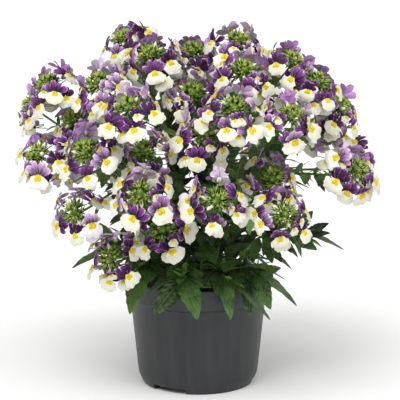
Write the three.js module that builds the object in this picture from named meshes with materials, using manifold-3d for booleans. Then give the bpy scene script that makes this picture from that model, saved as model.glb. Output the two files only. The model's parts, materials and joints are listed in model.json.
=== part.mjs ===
import * as THREE from "three";
import { mergeVertices } from "three/addons/utils/BufferGeometryUtils.js";
import Module from "manifold-3d";

// A nemesia plant in a plastic nursery pot, in millimetres, +Z up. The origin is on the surface that the pot
// stands on, under the pot's axis, and the side that the plant shows best faces -Y.
// Leafy stems stand in holes in the soil and carry bud clusters, and a wreath of florets rings each cluster.

const wasm = await Module();
wasm.setup();

const degrees = Math.PI / 180;
const gap = 0.3; // clearance between pieces that touch

// Pot
const potHeight = 86;
const rimRadius = 60;
const rimWidth = 1.8;
const collarHeight = 18.5;
const collarRadius = 57.6; // at the collar's rounded foot
const bodyTopRadius = 53.7;
const bodyFootRadius = 47.7;
const footRadius = 44;
const footHeight = 4.5;
const footWidth = 4;
const wall = 1.2;
const potSides = 28;
const footGapCentres = [-31, 89, 209]; // degrees from the front, seen from above
const footGapWidth = 38; // degrees
const drainCount = 4;
const drainRadius = 3.5;
const drainCircle = 28;

// Soil
const soilTop = 77.5;
const soilRise = 3;
const soilRelief = 0.9;
const soilFloor = footHeight + wall + gap;

// Stems
const holeDepth = 22;
const stemWidth = 3.0;
const branchWidth = 2.0;
const holeSpread = 0.22; // a stem's hole lies at this share of its heads' distance from the axis
const holeRoom = 8; // least distance between holes
const elbowHeight = 13; // stems rise straight to this height above the soil
const stalkStep = 30; // a stalk bends at steps of about this length, and leaves and branches stand between
const firstBranch = 3; // steps from the foot of a stem to its lowest side branch
const stemReach = 4; // nothing of another stem comes nearer to a stalk's middle
const sideSteps = [0, 10, 20, 32, 45]; // how far a stalk may bend aside to pass what is in its way

// Heads
const floretSize = 1.05; // florets are a little larger than life, so that each wreath holds together
const wreathRadius = 17;
const wreathCount = 6; // florets round each bud cluster
const headReach = 25; // nothing else comes nearer to a head's middle
const headRoom = 48; // least distance between heads side by side
const headDepth = 1.6; // heads one behind the other may stand nearer, by this factor
const lowestLift = 8; // degrees that the lowest heads face upwards
const highestLift = 53;

// Leaves
const leafLength = 38;
const leafRatio = 0.36; // width to length
const leafFold = 0.35; // how far the edges stand above the midrib, for their distance from it
const leafThickness = 0.9;
const leafReach = 3.2; // leaves keep this far from each other's middle and edges
const leafSteps = [1, 3]; // steps from the foot of a stem to its leaf pairs
const longLeaf = 38; // leaves past this length have one more tooth on each side
// A leaf turns aside, tips over or stays shorter where something is in its way: degrees, degrees, share
const leafTries = [
  [0, 0, 1],
  [0, 25, 1],
  [25, 10, 1],
  [-25, 10, 1],
  [0, -20, 0.9],
  [40, 30, 0.85],
  [-40, 30, 0.85],
  [0, 15, 0.7],
];

// Where each bud cluster stands. The front ones follow the plant's view from the front.
const frontHeads = [
  [-56, -15, 272],
  [-34, -56, 264],
  [-2, -24, 264],
  [30, -44, 270],
  [35, -81, 255],
  [72, -34, 255],
  [84, -62, 245],
  [-72, -77, 245],
  [-109, -48, 238],
  [-127, -13, 221],
  [-49, -114, 232],
  [-4, -63, 237],
  [-95, -49, 218],
  [-79, -110, 200],
  [-116, -80, 193],
  [-39, -90, 197],
  [-40, -131, 173],
  [-89, -93, 153],
  [27, -123, 232],
  [64, -101, 228],
  [106, -37, 224],
  [114, -91, 184],
  [54, -83, 176],
  [13, -133, 169],
  [61, -123, 157],
  [-62, -85, 118],
  [-28, -95, 140],
  [4, -106, 212],
];
const backHeads = [
  [0, 44, 252],
  [-50, 50, 254],
  [50, 50, 250],
  [98, 22, 224],
  [-84, 40, 208],
  [0, 92, 238],
  [-54, 100, 218],
  [58, 98, 218],
  [108, 66, 190],
  [-106, 64, 170],
  [0, 133, 196],
  [-62, 112, 162],
  [60, 112, 162],
  [129, 0, 176],
];
// Which heads each stem carries, by their place in the two lists above. The first is on its leader.
const stemHeads = [
  [0, 2, 29],
  [1, 10, 7],
  [3, 5, 6],
  [4, 11, 18, 27],
  [8, 9, 12],
  [13, 14, 17],
  [15, 16, 26],
  [25],
  [19, 22, 24],
  [20, 21],
  [23],
  [28, 30, 33],
  [31, 41, 36],
  [32, 37, 34],
  [35, 38, 39, 40],
];
// Low leafy shoots that lean out over the rim, each by its tip and the stem that it grows from
const lowShoots = [
  [[-12, -58, 95], 6],
  [[-44, -47, 100], 7],
  [[24, -59, 94], 10],
  [[44, -51, 98], 8],
  [[80, -47, 126], 9],
  [[-70, -30, 112], 5],
  [[-30, 60, 96], 11],
  [[36, 58, 96], 14],
];

// The left half of a floret seen from its front: two upper lobes, then half of the broad lower lip
const lobeTip = [-3.0, 10.0, -1.2];
const lobeNotch = [-2.5, 4.3, 0];
const sideLobe = [
  [-7.4, 7.0, -1.2],
  [-8.8, 3.2, -0.8],
];
const lip = [
  [-3.4, -0.4, 0.2],
  [-8.6, -3.4, 0.8],
  [-4.8, -8.6, 1.0],
];
const upperNotch = [0, 4.2, 0];
const palate = [0, -1.6, 1.8];
const floretBack = [0, 0, -2.8];
const petalThickness = 0.8;

const up = new THREE.Vector3(0, 0, 1);

// Gives the same number for the same place in the plant each time, from 0 to 1
function draw(seed, turn) {
  const wave = Math.sin(seed * 127.1 + turn * 311.7) * 43758.5453;
  return wave - Math.floor(wave);
}

function spread(seed, turn, reach) {
  return (2 * draw(seed, turn) - 1) * reach;
}

// A place given along three directions from a start
function place(start, [x, y, z], [right, top, out]) {
  return start.clone().addScaledVector(right, x).addScaledVector(top, y).addScaledVector(out, z);
}

// Solids

function solidOf(geometry) {
  const bare = geometry.clone();
  for (const name of ["normal", "uv"]) bare.deleteAttribute(name);
  const merged = mergeVertices(bare, 1e-4);
  const vertProperties = merged.attributes.position.array;
  const triVerts = new Uint32Array(merged.index.array);
  return new wasm.Manifold(new wasm.Mesh({ numProp: 3, vertProperties, triVerts }));
}

// A closed body from points and triangles whose corners run anticlockwise seen from outside
function bodyOf(points, triangles) {
  const geometry = new THREE.BufferGeometry().setFromPoints(points);
  geometry.setIndex(triangles.flat());
  return solidOf(geometry);
}

function meshOf(name, solid, material) {
  const { vertProperties, triVerts } = solid.getMesh();
  const geometry = new THREE.BufferGeometry();
  geometry.setAttribute("position", new THREE.BufferAttribute(vertProperties, 3));
  geometry.setIndex(new THREE.BufferAttribute(triVerts, 1));
  geometry.computeVertexNormals();
  const mesh = new THREE.Mesh(geometry, material);
  mesh.name = name;
  return mesh;
}

function lathe(profile) {
  const points = profile.map(([r, z]) => new THREE.Vector2(r, z));
  return new THREE.LatheGeometry(points, potSides).rotateX(Math.PI / 2);
}

// A bar with a regular section that follows a curve
function bar(curve, radius, sides, steps) {
  const section = new THREE.Shape();
  section.moveTo(radius, 0);
  for (let i = 1; i < sides; i++) {
    const turn = (i / sides) * 2 * Math.PI;
    section.lineTo(radius * Math.cos(turn), radius * Math.sin(turn));
  }
  section.closePath();
  return solidOf(new THREE.ExtrudeGeometry(section, { steps, extrudePath: curve, bevelEnabled: false }));
}

// Plan of the heads

function headAxis(centre, side) {
  const share = THREE.MathUtils.clamp((centre.z - 120) / 150, 0, 1);
  const lift = THREE.MathUtils.lerp(lowestLift, highestLift, share) * degrees;
  const out = new THREE.Vector3(0.85 * centre.x, centre.y + side * 25, 0).normalize();
  return out.multiplyScalar(Math.cos(lift)).addScaledVector(up, Math.sin(lift));
}

// Heads push each other apart until each has room
function placeHeads() {
  const front = frontHeads.map((centre) => ({ centre: new THREE.Vector3(...centre), side: -1 }));
  const back = backHeads.map((centre) => ({ centre: new THREE.Vector3(...centre), side: 1 }));
  const heads = [...front, ...back];
  for (let round = 0; round < 60; round++) {
    for (const head of heads) head.axis = headAxis(head.centre, head.side);
    heads.forEach((a, i) => heads.slice(i + 1).forEach((b) => pushApart(a, b)));
  }
  heads.forEach((head, i) => {
    const level = up.clone().cross(head.axis).normalize();
    head.right = level.applyAxisAngle(head.axis, draw(i + 1, 1) * 2 * Math.PI);
    head.top = head.axis.clone().cross(head.right);
    head.florets = placeFlorets(head, i);
  });
  return heads;
}

function pushApart(a, b) {
  const apart = b.centre.clone().sub(a.centre);
  const along = apart.dot(a.axis.clone().add(b.axis).normalize());
  const across = apart.lengthSq() - along * along;
  const room = Math.sqrt(across + (headDepth * along) ** 2);
  if (room >= headRoom) return;
  apart.setLength((headRoom - room) / 4);
  a.centre.sub(apart);
  b.centre.add(apart);
}

function frameOf(head) {
  return [head.right, head.top, head.axis];
}

function directionAround(head, around) {
  return head.right.clone().multiplyScalar(Math.cos(around)).addScaledVector(head.top, Math.sin(around));
}

// Florets face outwards and tip back towards the head's axis, each a little different
function placeFlorets(head, i) {
  return Array.from({ length: wreathCount }, (_, k) => {
    const seed = 50 * (i + 1) + k;
    const around = ((k + spread(seed, 2, 0.1)) / wreathCount) * 2 * Math.PI;
    const tilt = (32 + spread(seed, 3, 9)) * degrees;
    const radial = directionAround(head, around);
    const out = radial.clone().multiplyScalar(Math.cos(tilt)).addScaledVector(head.axis, Math.sin(tilt));
    const top = head.axis.clone().multiplyScalar(Math.cos(tilt)).addScaledVector(radial, -Math.sin(tilt));
    top.applyAxisAngle(out, spread(seed, 4, 12) * degrees);
    const size = floretSize * (1 + spread(seed, 5, 0.06));
    const height = -2 + spread(seed, 6, 1.2);
    const centre = head.centre.clone().addScaledVector(radial, wreathRadius);
    centre.addScaledVector(head.axis, height);
    return { centre, around, size, frame: [top.clone().cross(out), top, out] };
  });
}

// Florets

function onFloret(floret, point) {
  return place(floret.centre, point.map((value) => value * floret.size), floret.frame);
}

function mirrored([x, y, z]) {
  return [-x, y, z];
}

// A wreath is one body: each floret keeps to its own wedge of the head, and meets the next floret along the
// edge of their side lobes, where both bend in.
function wreath(head) {
  const points = [];
  const add = (point) => points.push(point) - 1;
  const count = head.florets.length;
  const seams = head.florets.map((floret, k) => seamBetween(head, floret, head.florets[(k + 1) % count]));
  for (const seam of seams) seam.corners = [...seam.front, ...seam.back].map(add);
  const triangles = [];
  head.florets.forEach((floret, k) => {
    const before = seams[(k + count - 1) % count];
    const after = seams[k];
    const at = (point) => {
      const start = onFloret(floret, point);
      keepBeside(start, head, before, 1);
      keepBeside(start, head, after, -1);
      return add(start);
    };
    const left = [lobeTip, lobeNotch, ...lip].map(at);
    const right = [lobeTip, lobeNotch, ...lip].map(mirrored).map(at);
    const [notch, front, back] = [upperNotch, palate, floretBack].map(at);
    const outline = (face) => {
      const onBefore = before.corners.slice(face, face + 2);
      const onAfter = after.corners.slice(face, face + 2);
      const leftEdge = [left[0], left[1], ...onBefore, ...left.slice(2)];
      const rightEdge = [right[0], right[1], ...onAfter, ...right.slice(2)];
      return [notch, ...leftEdge, ...rightEdge.reverse()];
    };
    const frontEdge = outline(0);
    const backEdge = outline(2);
    frontEdge.forEach((corner, i) => {
      const next = (i + 1) % frontEdge.length;
      triangles.push([corner, frontEdge[next], front], [backEdge[next], backEdge[i], back]);
    });
    triangles.push(...seamEnds(after.corners, right[1], right[2]));
    triangles.push(...seamEnds(before.corners, left[1], left[2]).map(([a, b, c]) => [b, a, c]));
  });
  return bodyOf(points, triangles);
}

// The edge along which a floret's right side lobe meets the next floret's left one
function seamBetween(head, a, b) {
  const turn = b.around < a.around ? 2 * Math.PI : 0;
  const across = head.axis.clone().cross(directionAround(head, (a.around + b.around + turn) / 2));
  const out = a.frame[2].clone().add(b.frame[2]).normalize();
  const front = sideLobe.map((corner) => {
    const middle = onFloret(a, mirrored(corner)).add(onFloret(b, corner)).multiplyScalar(0.5);
    const aside = middle.clone().sub(head.centre).dot(across);
    return middle.addScaledVector(across, -aside);
  });
  const back = front.map((point) => point.clone().addScaledVector(out, -petalThickness));
  return { across, front, back };
}

function seamEnds([topFront, lowFront, topBack, lowBack], lobeSide, lipSide) {
  return [
    [lobeSide, topFront, topBack],
    [lowFront, lipSide, lowBack],
  ];
}

// Moves a point to its own side of the plane between two florets
function keepBeside(point, head, seam, side) {
  const aside = point.clone().sub(head.centre).dot(seam.across) * side;
  if (aside < gap) point.addScaledVector(seam.across, (gap - aside) * side);
}

// Bud clusters

// Buds stand round the tip, and a stalk ends just behind each floret. The underside is flat.
function budCluster(head) {
  const count = head.florets.length;
  const at = (radius, turn, height) => {
    return place(head.centre, [radius * Math.cos(turn), radius * Math.sin(turn), height], frameOf(head));
  };
  const inside = place(head.centre, [0, 0, -3], frameOf(head));
  const upper = [];
  const lower = [];
  for (const floret of head.florets) {
    const between = floret.around + Math.PI / count;
    const back = onFloret(floret, floretBack);
    const inward = inside.clone().sub(back).setLength(gap);
    upper.push(at(8.8, floret.around, 5), at(5.2, between, 9.4));
    lower.push(back.add(inward), at(6.4, between, -1.5));
  }
  const ring = 2 * count;
  const onUpper = (k) => 1 + (k % ring);
  const onLower = (k) => 1 + ring + (k % ring);
  const triangles = [];
  for (let k = 0; k < ring; k++) {
    triangles.push([0, onUpper(k), onUpper(k + 1)]);
    triangles.push([onUpper(k), onLower(k), onLower(k + 1)]);
    triangles.push([onUpper(k), onLower(k + 1), onUpper(k + 1)]);
  }
  for (let k = 1; k < ring; k += 2) triangles.push([onLower(k + 1), onLower(k), onLower(k + 2)]);
  for (let k = 3; k < ring - 1; k += 2) triangles.push([onLower(1), onLower(k + 2), onLower(k)]);
  return bodyOf([at(0, 0, 11), ...upper, ...lower], triangles);
}

// Plan of the stems. What is in the way is a list of points, each with the distance to keep from it.

function isClear(points, own, obstacles) {
  return obstacles.every(({ point, reach, owner }) => {
    return own.includes(owner) || points.every((sample) => sample.distanceTo(point) > reach);
  });
}

// A curve that leaves a start in one direction and arrives in another, bent aside if something is in the way
function clearCurve(start, heading, end, arrival, own, obstacles) {
  const length = start.distanceTo(end);
  const chord = end.clone().sub(start).normalize();
  const level = chord.clone().cross(up).normalize();
  let straightest;
  for (const reach of sideSteps) {
    for (let turn = 0; turn < (reach ? 8 : 1); turn++) {
      const bend = level.clone().applyAxisAngle(chord, (turn / 8) * 2 * Math.PI).multiplyScalar(reach);
      const leave = start.clone().addScaledVector(heading, length * 0.35).add(bend);
      const arrive = end.clone().addScaledVector(arrival, -length * 0.35).add(bend);
      const curve = new THREE.CubicBezierCurve3(start, leave, arrive, end);
      straightest ??= curve;
      const samples = [0.2, 0.3, 0.4, 0.5, 0.6, 0.7, 0.8].map((share) => curve.getPoint(share));
      if (isClear(samples, own, obstacles)) return curve;
    }
  }
  return straightest;
}

function alongCurve(curve, owner) {
  const count = Math.ceil(curve.getLength() / 4);
  const points = Array.from({ length: count + 1 }, (_, i) => curve.getPoint(i / count));
  return points.map((point) => ({ point, reach: stemReach, owner }));
}

function stepsAlong(curve) {
  return Math.max(4, Math.round(curve.getLength() / stalkStep));
}

// The middle of a stalk's step k, and which way it runs there
function station(curve, k) {
  const steps = stepsAlong(curve);
  const from = curve.getPointAt(k / steps);
  const to = curve.getPointAt((k + 1) / steps);
  return { point: from.clone().add(to).multiplyScalar(0.5), tangent: to.sub(from).normalize() };
}

// Each hole lies under the middle of its stem's heads, and holes push each other apart
function placeHoles(heads) {
  const holes = stemHeads.map((members) => {
    const middle = new THREE.Vector3();
    for (const i of members) middle.add(heads[i].centre);
    return middle.multiplyScalar(holeSpread / members.length).setZ(soilTop - holeDepth);
  });
  for (let round = 0; round < 30; round++) {
    holes.forEach((a, i) => {
      for (const b of holes.slice(i + 1)) {
        const apart = b.clone().sub(a);
        const room = apart.length();
        if (room >= holeRoom) continue;
        apart.setLength((holeRoom - room) / 2);
        a.sub(apart);
        b.add(apart);
      }
    });
  }
  return holes;
}

// A stem's leader rises to its first head, and side branches leave it for the others
function placeStems(heads, obstacles) {
  const holes = placeHoles(heads);
  return stemHeads.map((members, i) => {
    const foot = holes[i];
    const elbow = foot.clone().setZ(soilTop + elbowHeight);
    const carried = members.map((k) => heads[k]);
    const leader = new THREE.CurvePath();
    const stem = { foot, heads: carried, leader, branches: [], shoots: [], leaves: [] };
    const ends = carried.map((head) => place(head.centre, [0, 0, 3], frameOf(head)));
    const rise = clearCurve(elbow, up, ends[0], carried[0].axis, [stem, carried[0]], obstacles);
    obstacles.push(...alongCurve(rise, stem));
    leader.add(new THREE.LineCurve3(foot, elbow));
    leader.add(rise);
    carried.slice(1).forEach((head, k) => {
      const { point, tangent } = station(leader, firstBranch + k);
      const branch = clearCurve(point, tangent, ends[k + 1], head.axis, [stem, head], obstacles);
      obstacles.push(...alongCurve(branch, stem));
      stem.branches.push(branch);
    });
    return stem;
  });
}

function placeShoots(stems, obstacles) {
  for (const [tip, i] of lowShoots) {
    const stem = stems[i];
    const end = new THREE.Vector3(...tip);
    const start = station(stem.leader, 1).point;
    const outward = end.clone().sub(start).setZ(0).normalize();
    const heading = outward.clone().addScaledVector(up, 1.2).normalize();
    const arrival = outward.clone().addScaledVector(up, -0.5).normalize();
    const shoot = clearCurve(start, heading, end, arrival, [stem], obstacles);
    obstacles.push(...alongCurve(shoot, stem));
    stem.shoots.push(shoot);
  }
}

// Leaves

// Half the width of a leaf at a share of its length
function leafHalf(share, width) {
  return (width / 2) * Math.sin(Math.PI * share ** 0.8) ** 0.75;
}

// A leaf's point at a share of its length and x to the side: it arches over, and folds up along its midrib
function leafPoint(leaf, share, x, rise) {
  const point = place(leaf.start, [x, leaf.length * share, Math.abs(x) * leafFold + rise], leaf.frame);
  return point.addScaledVector(up, -leaf.droop * leaf.length * share * share);
}

// A leaf that leaves a stalk to one side, pitched away from the stalk's direction
function leafFrom(start, tangent, side, pitch, length, droop) {
  const along = tangent.clone().multiplyScalar(Math.cos(pitch)).addScaledVector(side, Math.sin(pitch));
  const across = along.clone().cross(up).normalize();
  const frame = [across, along, across.clone().cross(along)];
  return { start, frame, length, width: length * leafRatio, droop };
}

function leafSamples(leaf) {
  const points = [];
  for (const share of [0.25, 0.4, 0.55, 0.7, 0.85, 1]) {
    for (const x of [-1, 0, 1]) points.push(leafPoint(leaf, share, x * leafHalf(share, leaf.width), 0));
  }
  return points;
}

function isClearOfPot(point) {
  const radius = Math.hypot(point.x, point.y);
  if (radius < rimRadius - 6) return point.z > soilTop + soilRise + 3;
  return point.z > (radius > rimRadius + 2.5 ? 12 : potHeight + 2);
}

// A leaf with room to grow, or none
function clearLeaf(seed, stem, { point, tangent }, length, pitch, turn, obstacles) {
  const sideways = Math.abs(tangent.z) > 0.95 ? new THREE.Vector3(0, 1, 0) : up;
  const level = tangent.clone().cross(sideways).normalize();
  const ownLeaves = obstacles.filter(({ owner, reach }) => owner === stem && reach === leafReach);
  for (const [swing, bend, share] of leafTries) {
    const side = level.clone().applyAxisAngle(tangent, (turn + spread(seed, 1, 14) + swing) * degrees);
    const size = length * share * (1 + spread(seed, 2, 0.08));
    const droop = 0.32 + draw(seed, 3) * 0.2;
    const leaf = leafFrom(point, tangent, side, (pitch + bend) * degrees, size, droop);
    const samples = leafSamples(leaf);
    const isFree = isClear(samples, [stem], obstacles) && isClear(samples.slice(3), [], ownLeaves);
    if (isFree && samples.every(isClearOfPot)) return { leaf, samples };
  }
}

// Leaves stand in pairs, each pair across the one below it, and a shoot ends in a single leaf
function placeLeaves(stems, obstacles) {
  stems.forEach((stem, i) => {
    let node = 0;
    const grow = (at, length, pitch, turns) => {
      const seed = 700 + 40 * i + node;
      const crossed = 90 * (node % 2);
      for (const turn of turns) {
        const found = clearLeaf(seed, stem, at, length, pitch, turn + crossed, obstacles);
        if (!found) continue;
        stem.leaves.push(found.leaf);
        obstacles.push(...found.samples.map((point) => ({ point, reach: leafReach, owner: stem })));
      }
      node++;
    };
    const [lowest, next] = leafSteps;
    for (const k of [lowest + (i % 2), next]) {
      grow(station(stem.leader, k), leafLength * (1 - 0.05 * k), 52, [0, 180]);
    }
    for (const shoot of stem.shoots) {
      const last = stepsAlong(shoot) - 1;
      grow(station(shoot, last - 1), leafLength, 48, [0, 180]);
      grow(station(shoot, last), leafLength * 1.15, 20, [90]);
    }
  });
}

// A thin toothed blade, thickest at its middle
function leafBody(leaf) {
  const teeth = leaf.length > longLeaf ? [0.3, 0.5, 0.7] : [0.36, 0.64];
  const edge = [[0.1, 0.9]];
  for (const tooth of teeth) {
    edge.push([tooth, 1.08 * leafHalf(tooth, leaf.width)]);
    edge.push([tooth + 0.06, 0.8 * leafHalf(tooth + 0.06, leaf.width)]);
  }
  const right = edge.map(([share, x]) => leafPoint(leaf, share, x, 0));
  const left = edge.map(([share, x]) => leafPoint(leaf, share, -x, 0)).reverse();
  const outline = [leafPoint(leaf, 0, 0, 0), ...right, leafPoint(leaf, 1, 0, 0), ...left];
  const above = outline.length;
  const triangles = outline.flatMap((_, i) => {
    const next = (i + 1) % outline.length;
    return [
      [i, next, above],
      [next, i, above + 1],
    ];
  });
  const faces = [leafThickness / 2, -leafThickness / 2].map((rise) => leafPoint(leaf, 0.4, 0, rise));
  return bodyOf([...outline, ...faces], triangles);
}

function leafyStem(stem) {
  const leader = bar(stem.leader, stemWidth / 2, 4, stepsAlong(stem.leader));
  const branches = [...stem.branches, ...stem.shoots].map((curve) => {
    return bar(curve, branchWidth / 2, 3, stepsAlong(curve));
  });
  const parts = [...branches, ...stem.heads.map(budCluster), ...stem.leaves.map(leafBody)];
  return parts.reduce((sum, part) => sum.add(part), leader);
}

// Pot and soil

// Points on a circle, from one direction to another
function arc(x, y, radius, from, to, steps) {
  return Array.from({ length: steps + 1 }, (_, i) => {
    const turn = from + ((to - from) * i) / steps;
    return new THREE.Vector2(x + radius * Math.cos(turn), y + radius * Math.sin(turn));
  });
}

function prism(outline, bottom, top) {
  const options = { depth: top - bottom, bevelEnabled: false };
  return solidOf(new THREE.ExtrudeGeometry(new THREE.Shape(outline), options).translate(0, 0, bottom));
}

function pot() {
  const collarFoot = potHeight - collarHeight;
  const outside = [
    [footRadius, 0],
    [bodyFootRadius, 8],
    [bodyTopRadius, collarFoot],
    [collarRadius, collarFoot + 3],
    [rimRadius, potHeight],
  ];
  const inside = [
    [rimRadius - rimWidth, potHeight],
    [collarRadius - rimWidth, collarFoot + 4],
    [bodyTopRadius - wall, collarFoot],
    [bodyFootRadius - wall, 9],
    [footRadius - 2, footHeight + wall],
    [0, footHeight + wall],
  ];
  const underside = [
    [0, footHeight],
    [footRadius - footWidth - 1, footHeight],
    [footRadius - footWidth, 0],
  ];
  let solid = solidOf(lathe([...underside, ...outside, ...inside]));
  for (const centre of footGapCentres) {
    const from = (centre - 90 - footGapWidth / 2) * degrees;
    const slice = [new THREE.Vector2(), ...arc(0, 0, rimRadius, from, from + footGapWidth * degrees, 4)];
    solid = solid.subtract(prism(slice, -1, footHeight));
  }
  for (let k = 0; k < drainCount; k++) {
    const turn = ((k + 0.5) / drainCount) * 2 * Math.PI;
    const [x, y] = [drainCircle * Math.cos(turn), drainCircle * Math.sin(turn)];
    const hexagon = arc(x, y, drainRadius, 0, (5 / 3) * Math.PI, 5);
    solid = solid.subtract(prism(hexagon, 0, footHeight + wall + 1));
  }
  return solid;
}

// The potting soil fills the pot up into its collar, its top is uneven, and each stem stands in a hole
function soil(stems) {
  const collarFoot = potHeight - collarHeight;
  const topRadius = collarRadius - rimWidth;
  const profile = [
    [0, soilFloor],
    [footRadius - 2.4, soilFloor],
    [bodyFootRadius - wall - gap, 9.2],
    [bodyTopRadius - wall - gap, collarFoot],
    [topRadius, soilTop],
    [topRadius / 2, soilTop + soilRise],
    [0, soilTop + soilRise],
  ];
  const geometry = lathe(profile);
  const places = geometry.attributes.position;
  for (let i = 0; i < places.count; i++) {
    const [x, y, z] = [places.getX(i), places.getY(i), places.getZ(i)];
    if (z < soilTop - 1 || Math.hypot(x, y) < 1) continue;
    places.setZ(i, z + soilRelief * Math.sin(x * 0.31 + y * 0.17) * Math.cos(y * 0.27 - x * 0.11));
  }
  const holes = stems.map(({ foot }) => {
    const from = foot.clone().setZ(foot.z - gap);
    const to = foot.clone().setZ(potHeight);
    return bar(new THREE.LineCurve3(from, to), stemWidth / 2 + 1.5 * gap, 4, 1);
  });
  return holes.reduce((rest, hole) => rest.subtract(hole), solidOf(geometry));
}

const heads = placeHeads();
const obstacles = heads.map((head) => {
  return { point: place(head.centre, [0, 0, -1], frameOf(head)), reach: headReach, owner: head };
});
const stems = placeStems(heads, obstacles);
placeShoots(stems, obstacles);
placeLeaves(stems, obstacles);

const plastic = new THREE.MeshStandardMaterial({ color: 0x3a3b3d, roughness: 0.5, metalness: 0 });
const peat = new THREE.MeshStandardMaterial({ color: 0x2b2019, roughness: 0.95, metalness: 0 });
const green = new THREE.MeshStandardMaterial({ color: 0x5f8a3c, roughness: 0.6, metalness: 0 });
const petal = new THREE.MeshStandardMaterial({ color: 0xb9a3d3, roughness: 0.6, metalness: 0 });

const numbered = (name, i) => name + "_" + String(i + 1).padStart(2, "0");
const plant = new THREE.Group();
plant.add(meshOf("pot", pot(), plastic));
plant.add(meshOf("soil", soil(stems), peat));
stems.forEach((stem, i) => plant.add(meshOf(numbered("stem", i), leafyStem(stem), green)));
heads.forEach((head, i) => plant.add(meshOf(numbered("florets", i), wreath(head), petal)));

export default plant;
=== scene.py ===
import json
import math

import bmesh
import bpy
import numpy as np
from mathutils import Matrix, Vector

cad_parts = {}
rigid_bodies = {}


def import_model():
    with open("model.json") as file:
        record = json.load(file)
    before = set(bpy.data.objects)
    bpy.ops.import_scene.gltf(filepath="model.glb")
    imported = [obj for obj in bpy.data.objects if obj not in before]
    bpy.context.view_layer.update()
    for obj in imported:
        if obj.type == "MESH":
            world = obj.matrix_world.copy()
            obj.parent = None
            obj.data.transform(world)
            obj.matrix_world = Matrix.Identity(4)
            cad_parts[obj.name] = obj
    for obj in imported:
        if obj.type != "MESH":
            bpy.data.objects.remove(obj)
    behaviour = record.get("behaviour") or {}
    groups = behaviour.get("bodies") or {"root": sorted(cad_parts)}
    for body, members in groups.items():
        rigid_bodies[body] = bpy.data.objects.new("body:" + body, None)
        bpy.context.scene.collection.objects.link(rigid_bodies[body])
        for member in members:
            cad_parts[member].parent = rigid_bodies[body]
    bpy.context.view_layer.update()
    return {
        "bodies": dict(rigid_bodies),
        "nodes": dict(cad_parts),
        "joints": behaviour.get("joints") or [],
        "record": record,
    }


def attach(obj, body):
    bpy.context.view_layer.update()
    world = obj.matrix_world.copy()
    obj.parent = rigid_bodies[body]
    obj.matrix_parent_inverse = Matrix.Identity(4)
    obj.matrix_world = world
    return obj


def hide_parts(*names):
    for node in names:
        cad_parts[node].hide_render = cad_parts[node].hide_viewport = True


# A nemesia plant in a plastic nursery pot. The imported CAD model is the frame: its heads, stalks and leaves are
# planned again here by the same growth rule, so that each finer piece stands where its CAD node does.
# The plan is in millimetres, and meshes are in metres.

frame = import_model()
scene = bpy.context.scene
up = np.array([0.0, 0.0, 1.0])
degree = math.pi / 180


def nodesNamed(start):
    return sorted(name for name in frame["nodes"] if name.startswith(start))


# The same number for the same place in the plant each time, from 0 to 1
def draw(seed, turn):
    wave = math.sin(seed * 127.1 + turn * 311.7) * 43758.5453
    return wave - math.floor(wave)


def spread(seed, turn, reach):
    return (2 * draw(seed, turn) - 1) * reach


# How far a value has come from low to high, from 0 to 1
def ramp(value, low, high):
    return min(max((value - low) / (high - low), 0), 1)


def unit(vector):
    return vector / math.sqrt(float(np.dot(vector, vector)))


def cross(a, b):
    return np.array([a[1] * b[2] - a[2] * b[1], a[2] * b[0] - a[0] * b[2], a[0] * b[1] - a[1] * b[0]])


def turned(vector, axis, angle):
    cosine, sine = math.cos(angle), math.sin(angle)
    return vector * cosine + cross(axis, vector) * sine + axis * (float(np.dot(axis, vector)) * (1 - cosine))


# Plan of the heads

headPlan = {
    "front": [
        (-56, -15, 272), (-34, -56, 264), (-2, -24, 264), (30, -44, 270), (35, -81, 255), (72, -34, 255),
        (84, -62, 245), (-72, -77, 245), (-109, -48, 238), (-127, -13, 221), (-49, -114, 232), (-4, -63, 237),
        (-95, -49, 218), (-79, -110, 200), (-116, -80, 193), (-39, -90, 197), (-40, -131, 173), (-89, -93, 153),
        (27, -123, 232), (64, -101, 228), (106, -37, 224), (114, -91, 184), (54, -83, 176), (13, -133, 169),
        (61, -123, 157), (-62, -85, 118), (-28, -95, 140), (4, -106, 212),
    ],
    "back": [
        (0, 44, 252), (-50, 50, 254), (50, 50, 250), (98, 22, 224), (-84, 40, 208), (0, 92, 238),
        (-54, 100, 218), (58, 98, 218), (108, 66, 190), (-106, 64, 170), (0, 133, 196), (-62, 112, 162),
        (60, 112, 162), (129, 0, 176),
    ],
    "lowest": 120,
    "highest": 270,
    "lowestLift": 8,  # degrees that heads at the lowest height face upwards
    "highestLift": 53,
    "rounds": 60,
    "room": 48,  # least distance between heads side by side
    "depth": 1.6,  # heads one behind the other may stand nearer, by this factor
    "reach": 25,  # nothing else comes nearer to a head's middle
    "wreathRadius": 17,
    "wreathCount": 6,
    "floretSize": 1.05,
    "floretTilt": 32,
    "floretHeight": -2,
}


def headAxis(centre, side):
    share = ramp(centre[2], headPlan["lowest"], headPlan["highest"])
    lift = (headPlan["lowestLift"] + (headPlan["highestLift"] - headPlan["lowestLift"]) * share) * degree
    out = unit(np.array([0.85 * centre[0], centre[1] + side * 25, 0.0]))
    return out * math.cos(lift) + up * math.sin(lift)


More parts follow.
